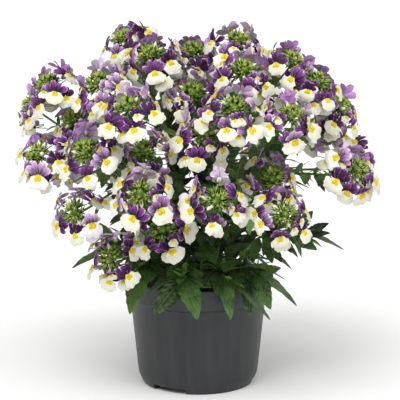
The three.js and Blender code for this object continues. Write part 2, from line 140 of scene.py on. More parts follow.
# Heads push each other apart until each has room
def placeHeads():
    starts = headPlan["front"] + headPlan["back"]
    sides = [-1] * len(headPlan["front"]) + [1] * len(headPlan["back"])
    centres = np.array(starts, float)
    for _ in range(headPlan["rounds"]):
        axes = np.array([headAxis(centre, side) for centre, side in zip(centres, sides)])
        for i in range(len(centres) - 1):
            j = i + 1
            while j < len(centres):
                apart = centres[j:] - centres[i]
                middle = axes[j:] + axes[i]
                middle /= np.linalg.norm(middle, axis=1)[:, None]
                along = (apart * middle).sum(1)
                across = (apart * apart).sum(1) - along * along
                room = np.sqrt(across + (headPlan["depth"] * along) ** 2)
                near = np.flatnonzero(room < headPlan["room"])
                if not len(near):
                    break
                k = near[0]
                push = unit(apart[k]) * ((headPlan["room"] - room[k]) / 4)
                centres[i] -= push
                centres[j + k] += push
                j += k + 1
    heads = []
    for i, (centre, axis, side) in enumerate(zip(centres, axes, sides)):
        right = turned(unit(cross(up, axis)), axis, draw(i + 1, 1) * 2 * math.pi)
        heads.append({"centre": centre, "axis": axis, "right": right, "top": cross(axis, right), "side": side})
    return heads


def radialOf(head, around):
    return head["right"] * math.cos(around) + head["top"] * math.sin(around)


# Florets face outwards and tip back towards the head's axis, each a little different
def placeWreath(head, i):
    florets = []
    for k in range(headPlan["wreathCount"]):
        seed = 50 * (i + 1) + k
        around = (k + spread(seed, 2, 0.1)) / headPlan["wreathCount"] * 2 * math.pi
        tilt = (headPlan["floretTilt"] + spread(seed, 3, 9)) * degree
        size = headPlan["floretSize"] * (1 + spread(seed, 5, 0.06))
        height = headPlan["floretHeight"] + spread(seed, 6, 1.2)
        twist = spread(seed, 4, 12) * degree
        florets.append(floretAt(head, around, headPlan["wreathRadius"], height, tilt, twist, size, seed))
    return florets


def floretAt(head, around, radius, height, tilt, twist, size, seed):
    radial = radialOf(head, around)
    out = radial * math.cos(tilt) + head["axis"] * math.sin(tilt)
    top = turned(head["axis"] * math.cos(tilt) - radial * math.sin(tilt), out, twist)
    place = head["centre"] + radial * radius + head["axis"] * height
    facts = {"around": around, "radius": radius, "height": height, "tilt": tilt, "twist": twist, "size": size}
    return {"place": place, "frame": (cross(top, out), top, out), "seed": seed, **facts}


# Plan of the stems

stemPlan = {
    "heads": [
        (0, 2, 29), (1, 10, 7), (3, 5, 6), (4, 11, 18, 27), (8, 9, 12), (13, 14, 17), (15, 16, 26), (25,),
        (19, 22, 24), (20, 21), (23,), (28, 30, 33), (31, 41, 36), (32, 37, 34), (35, 38, 39, 40),
    ],
    "shoots": [  # low leafy shoots over the rim: the tip, and the stem that it grows from
        ((-12, -58, 95), 6), ((-44, -47, 100), 7), ((24, -59, 94), 10), ((44, -51, 98), 8), ((80, -47, 126), 9),
        ((-70, -30, 112), 5), ((-30, 60, 96), 11), ((36, 58, 96), 14),
    ],
    "soilTop": 77.5,
    "soilRise": 3,
    "holeDepth": 22,
    "holeSpread": 0.22,
    "holeRoom": 8,
    "elbowHeight": 13,
    "stalkStep": 30,
    "firstBranch": 3,
    "reach": 4,
    "sideSteps": (0, 10, 20, 32, 45),  # how far a stalk may bend aside to pass what is in its way
    "handle": 0.35,  # how stiff a stalk is at its ends, as a share of its length
    "rounds": 30,
}


# A path measured by 200 chords, so that even steps can be taken along it
class Stalk:
    def measure(self):
        self.shares = np.linspace(0, 1, 201)
        points = self.at(self.shares)
        steps = np.linalg.norm(np.diff(points, axis=0), axis=1)
        self.lengths = np.concatenate([[0], np.cumsum(steps)])
        self.length = self.lengths[-1]

    def even(self, share):
        return self.at(np.interp(np.asarray(share) * self.lengths[-1], self.lengths, self.shares))


class Bend(Stalk):
    def __init__(self, start, leave, arrive, end):
        self.corners = np.array([start, leave, arrive, end])
        self.measure()

    def at(self, share):
        t = np.atleast_1d(share)[:, None]
        weights = ((1 - t) ** 3, 3 * (1 - t) ** 2 * t, 3 * (1 - t) * t**2, t**3)
        return sum(weight * corner for weight, corner in zip(weights, self.corners))


class Leader(Stalk):
    def __init__(self, foot, elbow, rise):
        self.foot, self.elbow, self.rise = foot, elbow, rise
        self.straight = float(np.linalg.norm(elbow - foot))
        self.whole = self.straight + rise.length
        self.measure()
        self.length = self.whole

    def at(self, share):
        gone = np.atleast_1d(share) * self.whole
        low = self.foot + (self.elbow - self.foot) * np.minimum(gone / self.straight, 1)[:, None]
        high = self.rise.even(np.clip(1 - (self.whole - gone) / self.rise.length, 0, 1))
        return np.where((gone <= self.straight)[:, None], low, high)


# What already stands in the plant: points, each with the distance that is kept from it
class Room:
    def __init__(self):
        self.points, self.reach, self.owner = np.zeros((0, 3)), np.zeros(0), np.zeros(0, int)

    def add(self, points, reach, owner):
        points = np.atleast_2d(points)
        self.points = np.vstack([self.points, points])
        self.reach = np.concatenate([self.reach, np.full(len(points), float(reach))])
        self.owner = np.concatenate([self.owner, np.full(len(points), owner)])

    def isClear(self, samples, chosen, ease=1.0):
        gaps = samples[:, None] - self.points[chosen][None]
        return bool(((gaps * gaps).sum(2) > (self.reach[chosen] * ease) ** 2).all())

    def isClearOfOthers(self, samples, own, ease=1.0):
        return self.isClear(samples, ~np.isin(self.owner, own), ease)


# A curve that leaves a start in one direction and arrives in another, bent aside if something is in the way
def clearCurve(start, heading, end, arrival, own, room):
    length = float(np.linalg.norm(end - start))
    chord = unit(end - start)
    level = unit(cross(chord, up))
    handle, straightest = stemPlan["handle"], None
    for reach in stemPlan["sideSteps"]:
        for turn in range(8 if reach else 1):
            bend = turned(level, chord, turn / 8 * 2 * math.pi) * reach
            leave, arrive = start + heading * length * handle + bend, end - arrival * length * handle + bend
            curve = Bend(start, leave, arrive, end)
            straightest = straightest or curve
            if room.isClearOfOthers(curve.at(np.array([0.2, 0.3, 0.4, 0.5, 0.6, 0.7, 0.8])), own):
                return curve
    return straightest


def fillRoom(room, curve, owner):
    count = math.ceil(curve.length / 4)
    room.add(curve.at(np.arange(count + 1) / count), stemPlan["reach"], owner)


def stepsAlong(curve):
    return max(4, math.floor(curve.length / stemPlan["stalkStep"] + 0.5))


# The middle of a stalk's step k in the CAD model, which way it runs there, and the finer stalk's own point
def station(curve, k):
    start, end = curve.even(np.array([k, k + 1]) / stepsAlong(curve))
    return (start + end) / 2, unit(end - start), curve.even(np.array([k + 0.5]) / stepsAlong(curve))[0]


def placeHoles(heads):
    holes = []
    for members in stemPlan["heads"]:
        middle = sum(heads[i]["centre"] for i in members) * (stemPlan["holeSpread"] / len(members))
        holes.append(np.array([middle[0], middle[1], stemPlan["soilTop"] - stemPlan["holeDepth"]]))
    for _ in range(stemPlan["rounds"]):
        for i, a in enumerate(holes):
            for b in holes[i + 1 :]:
                apart = b - a
                room = float(np.linalg.norm(apart))
                if room < stemPlan["holeRoom"]:
                    apart *= (stemPlan["holeRoom"] - room) / 2 / room
                    a -= apart
                    b += apart
    return holes


def stemOwner(i):
    return 100 + i


# A stem's leader rises to its first head, and side branches leave it for the others
def placeStems(heads, room):
    stems = []
    for i, (foot, members) in enumerate(zip(placeHoles(heads), stemPlan["heads"])):
        elbow = np.array([foot[0], foot[1], stemPlan["soilTop"] + stemPlan["elbowHeight"]])
        ends = [heads[k]["centre"] + heads[k]["axis"] * 3 for k in members]
        owner = stemOwner(i)
        rise = clearCurve(elbow, up, ends[0], heads[members[0]]["axis"], [owner, members[0]], room)
        fillRoom(room, rise, owner)
        leader = Leader(foot, elbow, rise)
        branches = []
        for k, head in enumerate(members[1:]):
            start, tangent, _ = station(leader, stemPlan["firstBranch"] + k)
            branch = clearCurve(start, tangent, ends[k + 1], heads[head]["axis"], [owner, head], room)
            fillRoom(room, branch, owner)
            branches.append(branch)
        stems.append({"foot": foot, "leader": leader, "branches": branches, "shoots": [], "owner": owner})
    for tip, i in stemPlan["shoots"]:
        end = np.array(tip, float)
        start = station(stems[i]["leader"], 1)[0]
        outward = unit((end - start) * (1, 1, 0))
        heading, arrival = unit(outward + up * 1.2), unit(outward - up * 0.5)
        shoot = clearCurve(start, heading, end, arrival, [stemOwner(i)], room)
        fillRoom(room, shoot, stemOwner(i))
        stems[i]["shoots"].append(shoot)
    return stems


# Plan of the leaves

leafPlan = {
    "length": 38,
    "ratio": 0.36,  # width to length
    "fold": 0.35,  # how far the edges stand above the midrib, for their distance from it
    "reach": 3.2,  # leaves keep this far from each other
    "pitch": 52,  # degrees between a leaf and its stalk
    "shootPitch": 48,
    "tipPitch": 20,
    "tries": (  # degrees to turn aside, degrees to tip over, share of the length
        (0, 0, 1), (0, 25, 1), (25, 10, 1), (-25, 10, 1), (0, -20, 0.9), (40, 30, 0.85), (-40, 30, 0.85),
        (0, 15, 0.7),
    ),
    "potHeight": 86,
    "rimRadius": 60,
}


def leafHalf(share, width):
    return width / 2 * np.sin(math.pi * share**0.8) ** 0.75


def leafPoints(leaf, shares, x):
    across, along, normal = leaf["frame"]
    shares, x = np.asarray(shares, float)[:, None], np.asarray(x, float)[:, None]
    flat = leaf["start"] + across * x + along * (leaf["length"] * shares) + normal * (np.abs(x) * leafPlan["fold"])
    return flat - up * (leaf["droop"] * leaf["length"] * shares * shares)


def leafSamples(leaf):
    shares = np.repeat([0.25, 0.4, 0.55, 0.7, 0.85, 1], 3)
    half = leafHalf(shares, leaf["length"] * leafPlan["ratio"])
    return leafPoints(leaf, shares, half * np.tile([-1, 0, 1], 6))


def isClearOfPot(points):
    radius = np.hypot(points[:, 0], points[:, 1])
    inside = radius < leafPlan["rimRadius"] - 6
    beyond = radius > leafPlan["rimRadius"] + 2.5
    least = np.where(beyond, 12, leafPlan["potHeight"] + 2)
    least = np.where(inside, stemPlan["soilTop"] + stemPlan["soilRise"] + 3, least)
    return bool((points[:, 2] > least).all())


# A leaf that grows in one direction. Its foot is at start in the CAD model, and at own on the finer stalk.
def leafAlong(along, start, own, length, droop, seed, **more):
    across = unit(cross(along, up))
    frame = (across, along, cross(across, along))
    return {"start": start, "own": own, "frame": frame, "length": length, "droop": droop, "seed": seed, **more}


# A leaf with room to grow, or none
def clearLeaf(seed, owner, spot, length, pitch, turn, room, ease=1.0):
    start, tangent, own = spot
    sideways = np.array([0.0, 1.0, 0.0]) if abs(tangent[2]) > 0.95 else up
    level = unit(cross(tangent, sideways))
    mates = (room.owner == owner) & (room.reach == leafPlan["reach"])
    for swing, bend, share in leafPlan["tries"]:
        side = turned(level, tangent, (turn + spread(seed, 1, 14) + swing) * degree)
        tip = (pitch + bend) * degree
        along = tangent * math.cos(tip) + side * math.sin(tip)
        size = length * share * (1 + spread(seed, 2, 0.08))
        leaf = leafAlong(along, start, own, size, 0.32 + draw(seed, 3) * 0.2, seed)
        samples = leafSamples(leaf)
        isFree = room.isClearOfOthers(samples, [owner], ease) and room.isClear(samples[3:], mates, ease)
        if isFree and isClearOfPot(samples):
            return leaf, samples
    return None, None


def placeLeaves(stems, room):
    leaves = []
    for i, stem in enumerate(stems):
        leader, count = stem["leader"], 0
        length, pair = leafPlan["length"], (0, 180)
        spots = [(station(leader, k), length * (1 - 0.05 * k), leafPlan["pitch"], pair) for k in (1 + i % 2, 3)]
        for shoot in stem["shoots"]:
            last = stepsAlong(shoot) - 1
            spots.append((station(shoot, last - 1), length, leafPlan["shootPitch"], pair))
            spots.append((station(shoot, last), length * 1.15, leafPlan["tipPitch"], (90,)))
        for spot, length, pitch, turns in spots:
            seed = 700 + 40 * i + count
            for turn in turns:
                turn += 90 * (count % 2)
                leaf, samples = clearLeaf(seed, stem["owner"], spot, length, pitch, turn, room)
                if leaf:
                    leaves.append(leaf)
                    room.add(samples, leafPlan["reach"], stem["owner"])
            count += 1
    return leaves


# Smaller leaves that the CAD model leaves out: nearer pairs low on the stalks, and bracts along the branches
fillerPlan = {
    "step": 9,  # along a stalk
    "lowLength": 33,
    "highLength": 23,
    "thinShare": 0.75,  # of the leaves where they are short
    "thinTop": 245,
    "lowest": 6,  # above the soil
    "longUpTo": 110,
    "shortFrom": 240,
    "pitch": 48,
    "outside": 68,  # leaves farther out than this are shorter
    "outsideLength": 0.6,
    "tuft": 4,  # young leaves to a tuft
    "tuftLength": 14,
    "tuftDroop": 0.25,
    "ease": 0.62,  # the share of the usual room that these leaves need
}


def placeFillers(stems, room):
    leaves = []
    for i, stem in enumerate(stems):
        owner = stem["owner"]
        for j, curve in enumerate([stem["leader"], *stem["branches"], *stem["shoots"]]):
            count = int(curve.length / fillerPlan["step"])
            isShoot = j > len(stem["branches"])
            for k in range(2, count - (0 if isShoot else 1)):
                seed = 3000 + 400 * i + 40 * j + k
                point, ahead = curve.even(np.array([k, k + 0.5]) / count)
                height = point[2]
                if height < stemPlan["soilTop"] + fillerPlan["lowest"] or height > fillerPlan["thinTop"]:
                    continue
                share = ramp(height, fillerPlan["longUpTo"], fillerPlan["shortFrom"])
                length = fillerPlan["lowLength"] + (fillerPlan["highLength"] - fillerPlan["lowLength"]) * share
                length *= 1 + spread(seed, 7, 0.25)
                if math.hypot(*point[:2]) > fillerPlan["outside"]:
                    length *= fillerPlan["outsideLength"]
                if share >= 1 and draw(seed, 8) > fillerPlan["thinShare"]:
                    continue
                spot = (point, unit(ahead - point), point)
                for turn in (0, 180):
                    turn += 90 * (k % 2) + spread(seed, 9, 25)
                    pitch = fillerPlan["pitch"] + spread(seed, 10, 14)
                    leaf, samples = clearLeaf(seed + turn, owner, spot, length, pitch, turn, room, fillerPlan["ease"])
                    if leaf:
                        leaves.append(leaf)
                        room.add(samples[3:], leafPlan["reach"] * 0.99, owner)
    return leaves


# Young leaves round the tip of a shoot or in the corner between a leaf and its stalk
def placeTufts(stems, leaves):
    spots = [(leaf["own"], unit(leaf["frame"][1] + up * 0.9), leaf["seed"] + 0.1 * k) for k, leaf in enumerate(leaves)]
    for i, stem in enumerate(stems):
        for k, shoot in enumerate(stem["shoots"]):
            near, tip = shoot.even(np.array([0.97, 1.0]))
            spots.append((tip, unit(tip - near + up * 1.5), 50 * i + k))
    tufts = []
    for point, axis, seed in spots:
        level = unit(cross(axis, np.array([1.0, 0.3, 0.1])))
        for k in range(fillerPlan["tuft"]):
            side = turned(level, axis, (k + spread(seed, 11 + k, 0.3)) / fillerPlan["tuft"] * 2 * math.pi)
            pitch = (34 + spread(seed, 21 + k, 14)) * degree
            along = axis * math.cos(pitch) + side * math.sin(pitch)
            foot, length = point + axis * 2, fillerPlan["tuftLength"] * (1 + spread(seed, 31 + k, 0.3))
            leaf = leafAlong(along, foot, foot, length, fillerPlan["tuftDroop"], seed * 3 + k, young=True)
            if isClearOfPot(leafSamples(leaf)[3:]):
                tufts.append(leaf)
    return tufts


# Broad leaves at the front that hang over the rim or fill gaps: about where each has its foot, on the nearest
# stalk, and its tip
rimPlan = {
    "leaves": [
        ((-10, -60, 88), (-36, -84, 73)), ((-10, -60, 93), (1, -76, 84)), ((-7, -52, 102), (14, -71, 92)),
        ((-17, -48, 110), (-27, -70, 98)), ((-12, -54, 110), (-11, -70, 102)), ((27, -60, 92), (22, -76, 79)),
        ((45, -52, 97), (55, -75, 74)), ((52, -50, 111), (40, -67, 99)), ((50, -49, 103), (66, -57, 104)),
        ((80, -47, 126), (103, -55, 129)), ((67, -39, 129), (92, -50, 115)), ((-33, -50, 99), (-41, -70, 94)),
        ((-43, -46, 100), (-49, -65, 95)), ((80, -47, 126), (103, -52, 138)), ((50, -29, 123), (64, -42, 103)),
        ((47, -27, 121), (40, -44, 104)), ((58, -33, 127), (50, -52, 110)), ((61, -35, 128), (72, -47, 112)),
        ((53, -31, 125), (57, -50, 104)), ((-57, -28, 115), (-50, -45, 140)),
        ((-66, -29, 113), (-78, -37, 140)), ((-63, -72, 165), (-50, -80, 142)),
        ((-45, -50, 154), (-64, -58, 164)), ((-14, -20, 169), (-27, -28, 190)),
        ((-19, -43, 151), (-19, -51, 172)), ((-26, -85, 150), (-14, -93, 170)),
        ((-53, -65, 168), (-36, -80, 182)), ((-9, -26, 112), (-24, -34, 136)),
        ((-17, -22, 101), (-20, -30, 120)), ((75, -44, 128), (90, -48, 150)), ((68, -40, 129), (80, -46, 149)),
        ((101, -75, 178), (108, -80, 162)), ((47, -67, 172), (36, -73, 182)), ((28, -85, 178), (18, -90, 186)),
        ((-55, -56, 162), (-68, -62, 170)),
    ],
    "facing": (0.0, -0.75, 0.66),  # where their upper sides look
    "longest": 42,
    "droop": 0.16,
}


def placeRimLeaves(stems):
    curves = [curve for stem in stems for curve in (stem["leader"], *stem["branches"], *stem["shoots"])]
    line = np.concatenate([curve.even(np.linspace(0, 1, 81)) for curve in curves])
    leaves = []
    for k, (foot, tip) in enumerate(rimPlan["leaves"]):
        foot, tip = np.array(foot, float), np.array(tip, float)
        foot = line[np.argmin(np.linalg.norm(line - foot, axis=1))]
        along = unit(tip + up * 2 - foot)
        normal = unit(np.array(rimPlan["facing"]) - along * float(np.dot(rimPlan["facing"], along)))
        normal = turned(normal, along, spread(k, 71, 25) * degree)
        length = min(float(np.linalg.norm(tip - foot)), rimPlan["longest"])
        frame = (cross(along, normal), along, normal)
        leaves.append({"own": foot, "frame": frame, "length": length, "droop": rimPlan["droop"], "seed": 60 + k})
    return leaves


heads = placeHeads()
room = Room()
for i, head in enumerate(heads):
    head["florets"] = placeWreath(head, i)
    room.add(head["centre"] - head["axis"], headPlan["reach"], i)
stems = placeStems(heads, room)
leaves = placeLeaves(stems, room)
fillers = placeFillers(stems, room)
fillers += placeTufts(stems, leaves)
rimLeaves = placeRimLeaves(stems)
print("plan:", len(heads), "heads,", len(leaves), "leaves and", len(fillers), "smaller ones")


# Meshes

def newMesh(name, points, edges=(), faces=()):
    mesh = bpy.data.meshes.new(name)
    mesh.from_pydata((np.array(points) / 1000).tolist(), edges, faces)
    return mesh


def addValues(mesh, name, kind, values, domain="POINT"):
    key = "vector" if kind == "FLOAT_VECTOR" else "value"
    mesh.attributes.new(name, kind, domain).data.foreach_set(key, np.ravel(values))


def linked(name, data, collection=None):
    piece = bpy.data.objects.new(name, data)
    (collection or scene.collection).objects.link(piece)
    return piece


# Collects a closed shape's points and faces, with a finish and a place on the pattern for each face
class Shape:
    def __init__(self):
        self.points, self.faces, self.finish, self.pattern, self.rims, self.more = [], [], [], [], set(), {}

    def addPoints(self, points):
        first = len(self.points)
        self.points.extend(np.reshape(points, (-1, 3)).tolist())
        return first

    def addFace(self, corners, finish, pattern):
        self.faces.append(tuple(corners))
        self.finish.append(finish)
        self.pattern.extend(tuple(place) for place in pattern)

    # A thin blade from a grid of points: its two faces meet at the rim
    def addBlade(self, grid, pattern, thickness, face, back):
        rows, columns = grid.shape[:2]
        alongRows, alongColumns = np.gradient(grid, axis=0), np.gradient(grid, axis=1)
        normal = np.cross(alongColumns, alongRows)
        normal /= np.linalg.norm(normal, axis=2)[:, :, None] + 1e-12
        front = self.addPoints(grid) + np.arange(rows * columns).reshape(rows, columns)
        under = front.copy()
        inner = (grid - normal * thickness)[1:-1, 1:-1]
        under[1:-1, 1:-1] = self.addPoints(inner) + np.arange(inner[..., 0].size).reshape(inner.shape[:2])
        for r in range(rows - 1):
            for c in range(columns - 1):
                ring = [(r, c), (r, c + 1), (r + 1, c + 1), (r + 1, c)]
                self.addFace([front[spot] for spot in ring], face, [pattern[spot] for spot in ring])
                ring.reverse()
                self.addFace([under[spot] for spot in ring], back, [pattern[spot] for spot in ring])
        edge = list(front[0]) + list(front[1:, -1]) + list(front[-1, -2::-1]) + list(front[-2:0:-1, 0])
        self.rims.update(frozenset(pair) for pair in zip(edge, edge[1:] + edge[:1]))

    # A round shape along a line of centres, closed to a point at both ends
    def addSpindle(self, centres, radii, sides, finish, flat=1.0):
        centres = np.asarray(centres, float)
        tangent = unit(centres[-1] - centres[0])
        side = unit(cross(tangent, up if abs(tangent[2]) < 0.9 else np.array([1.0, 0.0, 0.0])))
        other = cross(tangent, side) * flat
        turns = np.arange(sides) / sides * 2 * math.pi
        around = np.cos(turns)[:, None] * side + np.sin(turns)[:, None] * other
        start, end = self.addPoints(centres[0]), self.addPoints(centres[-1])
        rings = [self.addPoints(centre + around * radius) for centre, radius in zip(centres[1:-1], radii[1:-1])]
        last = len(centres) - 1
        for k in range(sides):
            n = (k + 1) % sides
            u, v = k / sides, (k + 1) / sides
            self.addFace((start, rings[0] + n, rings[0] + k), finish, ((u, 0), (v, 1 / last), (u, 1 / last)))
            for r, (ring, above) in enumerate(zip(rings, rings[1:])):
                low, high = (r + 1) / last, (r + 2) / last
                corners = (ring + k, ring + n, above + n, above + k)
                self.addFace(corners, finish, ((u, low), (v, low), (v, high), (u, high)))
            self.addFace((end, rings[-1] + k, rings[-1] + n), finish, ((u, 1), (u, 1 - 1 / last), (v, 1 - 1 / last)))

    def toObject(self, name, collection):
        mesh = newMesh(name, self.points, faces=self.faces)
        mesh.polygons.foreach_set("use_smooth", [True] * len(self.faces))
        mesh.uv_layers.new(name="pattern").data.foreach_set("uv", np.ravel(self.pattern))
        addValues(mesh, "finish", "INT", self.finish, "FACE")
        for key, values in self.more.items():
            addValues(mesh, key, "FLOAT", values)
        for edge in mesh.edges:
            edge.use_edge_sharp = frozenset(edge.vertices) in self.rims
        linked(name, mesh, collection)


# Points for instances: each has its facing and its variant, and floats such as its size and tone
class Scatter:
    def __init__(self):
        self.places, self.frames, self.variants, self.floats = [], [], [], {}

    def add(self, place, frame, variant, **floats):
        self.places.append(place)
        self.frames.append(frame)
        self.variants.append(variant)
        for key, value in floats.items():
            self.floats.setdefault(key, []).append(value)

    def toObject(self, name):
        mesh = newMesh(name, self.places)
        right, top, out = (np.array([axes[k] for axes in self.frames]) for k in range(3))
        roll, pitch = np.arctan2(top[:, 2], out[:, 2]), np.arcsin(np.clip(-right[:, 2], -1, 1))
        heading = np.arctan2(right[:, 1], right[:, 0])
        addValues(mesh, "facing", "FLOAT_VECTOR", np.stack([roll, pitch, heading], axis=1))
        addValues(mesh, "variant", "INT", self.variants)
        for key, values in self.floats.items():
            addValues(mesh, key, "FLOAT", np.array(values, float))
        return linked(name, mesh)


# Nodes

def addNode(tree, kind, settings=None, **inputs):
    node = tree.nodes.new(kind)
    for key, value in (settings or {}).items():
        setattr(node, key, value)
    for label, value in inputs.items():
        socket = node.inputs[int(label[1:])] if label[0] == "_" else node.inputs[label.replace("_", " ")]
        value = getattr(value, "socket", value)
        if isinstance(value, bpy.types.NodeSocket):
            tree.links.new(value, socket)
        else:
            socket.default_value = value
    return node


def outputOf(tree, kind, settings=None, output=0, **inputs):
    return Output(tree, addNode(tree, kind, settings, **inputs).outputs[output])


# A node's output, so that what follows from it can be written as a sum
class Output:
    def __init__(self, tree, socket):
        self.tree, self.socket = tree, socket

    def calc(self, operation, other=0.0):
        return outputOf(self.tree, "ShaderNodeMath", {"operation": operation}, _0=self, _1=other)

    def __add__(self, other):
        return self.calc("ADD", other)

    def __sub__(self, other):
        return self.calc("SUBTRACT", other)

    def __mul__(self, other):
        return self.calc("MULTIPLY", other)

    def __abs__(self):
        return self.calc("ABSOLUTE")

    # From 0 where it is low to 1 where it is high. Low may be the larger of the two.
    def fade(self, low, high):
        smooth = {"interpolation_type": "SMOOTHSTEP"}
        return outputOf(self.tree, "ShaderNodeMapRange", smooth, Value=self, From_Min=low, From_Max=high)


def newTree(name, inputs):
    tree = bpy.data.node_groups.new(name, "GeometryNodeTree")
    tree.interface.new_socket("Geometry", in_out="INPUT", socket_type="NodeSocketGeometry")
    for label, kind in inputs:
        tree.interface.new_socket(label, in_out="INPUT", socket_type="NodeSocket" + kind)
    tree.interface.new_socket("Geometry", in_out="OUTPUT", socket_type="NodeSocketGeometry")
    return tree, tree.nodes.new("NodeGroupInput").outputs, tree.nodes.new("NodeGroupOutput").inputs


def named(tree, kind, name):
    return outputOf(tree, "GeometryNodeInputNamedAttribute", {"data_type": kind}, "Attribute", Name=name)


# Puts a variant on each point, and gives each finish its material. Blades arch over by their own sag.
def scatterTree(name, finishes, sags=False):
    labels = [f"Finish {k}" for k in range(finishes)]
    tree, given, result = newTree(name, [("Variants", "Collection"), *((label, "Material") for label in labels)])
    variants = outputOf(
        tree,
        "GeometryNodeCollectionInfo",
        Collection=given["Variants"],
        Separate_Children=True,
        Reset_Children=True,
    )
    scattered = outputOf(
        tree,
        "GeometryNodeInstanceOnPoints",
        Points=given["Geometry"],
        Instance=variants,
        Pick_Instance=True,
        Instance_Index=named(tree, "INT", "variant"),
        Rotation=named(tree, "FLOAT_VECTOR", "facing"),
        Scale=named(tree, "FLOAT", "size"),
    )
    last = outputOf(tree, "GeometryNodeRealizeInstances", Geometry=scattered)
    if sags:
        share = named(tree, "FLOAT", "share")
        drop = outputOf(tree, "ShaderNodeCombineXYZ", Z=share * share * named(tree, "FLOAT", "sag"))
        last = outputOf(tree, "GeometryNodeSetPosition", Geometry=last, Offset=drop)
    finish, isEqual = named(tree, "INT", "finish"), {"data_type": "INT", "operation": "EQUAL"}
    for k, label in enumerate(labels):
        chosen = outputOf(tree, "FunctionNodeCompare", isEqual, _2=finish, _3=k)
        last = outputOf(tree, "GeometryNodeSetMaterial", Geometry=last, Selection=chosen, Material=given[label])
    tree.links.new(last.socket, result[0])
    return tree


# Sweeps a round section along each line of points, as wide as the points say
def sweepTree(name):
    tree, given, result = newTree(name, [("Sides", "Int"), ("Finish 0", "Material")])
    lines = outputOf(tree, "GeometryNodeMeshToCurve", Mesh=given["Geometry"])
    section = outputOf(tree, "GeometryNodeCurvePrimitiveCircle", Resolution=given["Sides"], Radius=1.0)
    girth = named(tree, "FLOAT", "girth")
    swept = outputOf(
        tree, "GeometryNodeCurveToMesh", Curve=lines, Profile_Curve=section, Scale=girth, Fill_Caps=True
    )
    smooth = outputOf(tree, "GeometryNodeSetShadeSmooth", Geometry=swept)
    whole = outputOf(tree, "GeometryNodeRealizeInstances", Geometry=smooth)
    skin = outputOf(tree, "GeometryNodeSetMaterial", Geometry=whole, Material=given["Finish 0"])
    tree.links.new(skin.socket, result[0])
    return tree


# Runs a tree on a source object and keeps the result as a plain mesh
def grown(name, source, tree, finishes, **values):
    values.update({f"Finish {k}": material for k, material in enumerate(finishes)})
    modifier = source.modifiers.new("grow", "NODES")
    modifier.node_group = tree
    for item in tree.interface.items_tree:
        if item.item_type == "SOCKET" and item.in_out == "INPUT" and item.name in values:
            modifier[item.identifier] = values[item.name]
    graph = bpy.context.evaluated_depsgraph_get()
    mesh = bpy.data.meshes.new_from_object(source.evaluated_get(graph), preserve_all_data_layers=True, depsgraph=graph)
    mesh.name = name
    piece = linked(name, mesh)
    source.modifiers.remove(modifier)
    bpy.data.objects.remove(source)
    mesh.calc_loop_triangles()
    print(name + ":", len(mesh.loop_triangles), "triangles")
    return piece


def variantCollection(name, shapes):
    collection = bpy.data.collections.new(name)
    scene.collection.children.link(collection)
    for k, shape in enumerate(shapes):
        shape.toObject(f"{name}{k:02d}", collection)
    return collection


def dropCollection(collection):
    for piece in list(collection.objects):
        bpy.data.objects.remove(piece)
    bpy.data.collections.remove(collection)


# Materials

def tint(code):
    values = [int(code[k : k + 2], 16) / 255 for k in (0, 2, 4)]
    return [v / 12.92 if v <= 0.04045 else ((v + 0.055) / 1.055) ** 2.4 for v in values] + [1.0]


# A material with its own set of colours, by name
class Finish:
    def __init__(self, name, looks, roughness, specular=0.5):
        self.looks = looks
        self.material = bpy.data.materials.new(name)
        self.material.use_nodes = True
        self.tree = self.material.node_tree
        self.inputs = self.tree.nodes["Principled BSDF"].inputs
        self.inputs["Roughness"].default_value = roughness
        self.inputs["Specular IOR Level"].default_value = specular

    def noise(self, scale, detail=3.0, stretch=(1, 1, 1)):
        coords = outputOf(self.tree, "ShaderNodeTexCoord", output="Object")
        mapped = outputOf(self.tree, "ShaderNodeMapping", Vector=coords, Scale=stretch)
        return outputOf(self.tree, "ShaderNodeTexNoise", Vector=mapped, Scale=scale, Detail=detail)

    # The two coordinates of a shape's own pattern, and the tone of its instance
    def pattern(self):
        uv = outputOf(self.tree, "ShaderNodeUVMap", {"uv_map": "pattern"})
        parts = addNode(self.tree, "ShaderNodeSeparateXYZ", Vector=uv).outputs
        tone = outputOf(self.tree, "ShaderNodeAttribute", {"attribute_name": "tone"}, "Fac")
        return Output(self.tree, parts[0]), Output(self.tree, parts[1]), tone

    # Lays colours over each other, each by a share
    def paint(self, first, *layers):
        colour = tint(self.looks[first])
        for share, name in layers:
            inputs = {"_0": share, "_6": colour, "_7": tint(self.looks[name])}
            colour = outputOf(self.tree, "ShaderNodeMix", {"data_type": "RGBA"}, 2, **inputs)
        self.tree.links.new(colour.socket, self.inputs["Base Color"])

    def emboss(self, height, strength, distance):
        bump = addNode(self.tree, "ShaderNodeBump", Height=height, Strength=strength, Distance=distance)
        self.tree.links.new(bump.outputs[0], self.inputs["Normal"])
        return self.material


# Fine lines that run out from a petal's foot, between a start and a reach, and how near a place is to the rim
def veinGroup():
    tree = bpy.data.node_groups.new("petalVeins", "ShaderNodeTree")
    for label in ("Along", "Across", "Tone", "Lines", "Start", "Reach"):
        tree.interface.new_socket(label, in_out="INPUT", socket_type="NodeSocketFloat")
    for label in ("Lines", "Rim"):
        tree.interface.new_socket(label, in_out="OUTPUT", socket_type="NodeSocketFloat")
    given, result = tree.nodes.new("NodeGroupInput").outputs, tree.nodes.new("NodeGroupOutput").inputs
    along, across, tone, count, start, reach = (Output(tree, given[k]) for k in range(6))
    place = outputOf(tree, "ShaderNodeCombineXYZ", X=tone * 7.0 + across * count, Y=along * 1.6)
    noise = outputOf(tree, "ShaderNodeTexNoise", Vector=place, Scale=1.0, Detail=2.0)
    lines = noise.fade(0.42, 0.62) * along.fade(reach, start)
    rim = abs(across * 2.0 - 1.0).calc("MAXIMUM", along * 1.6 - 0.6)
    tree.links.new(lines.socket, result[0])
    tree.links.new(rim.socket, result[1])
    return tree


petalVeins = veinGroup()

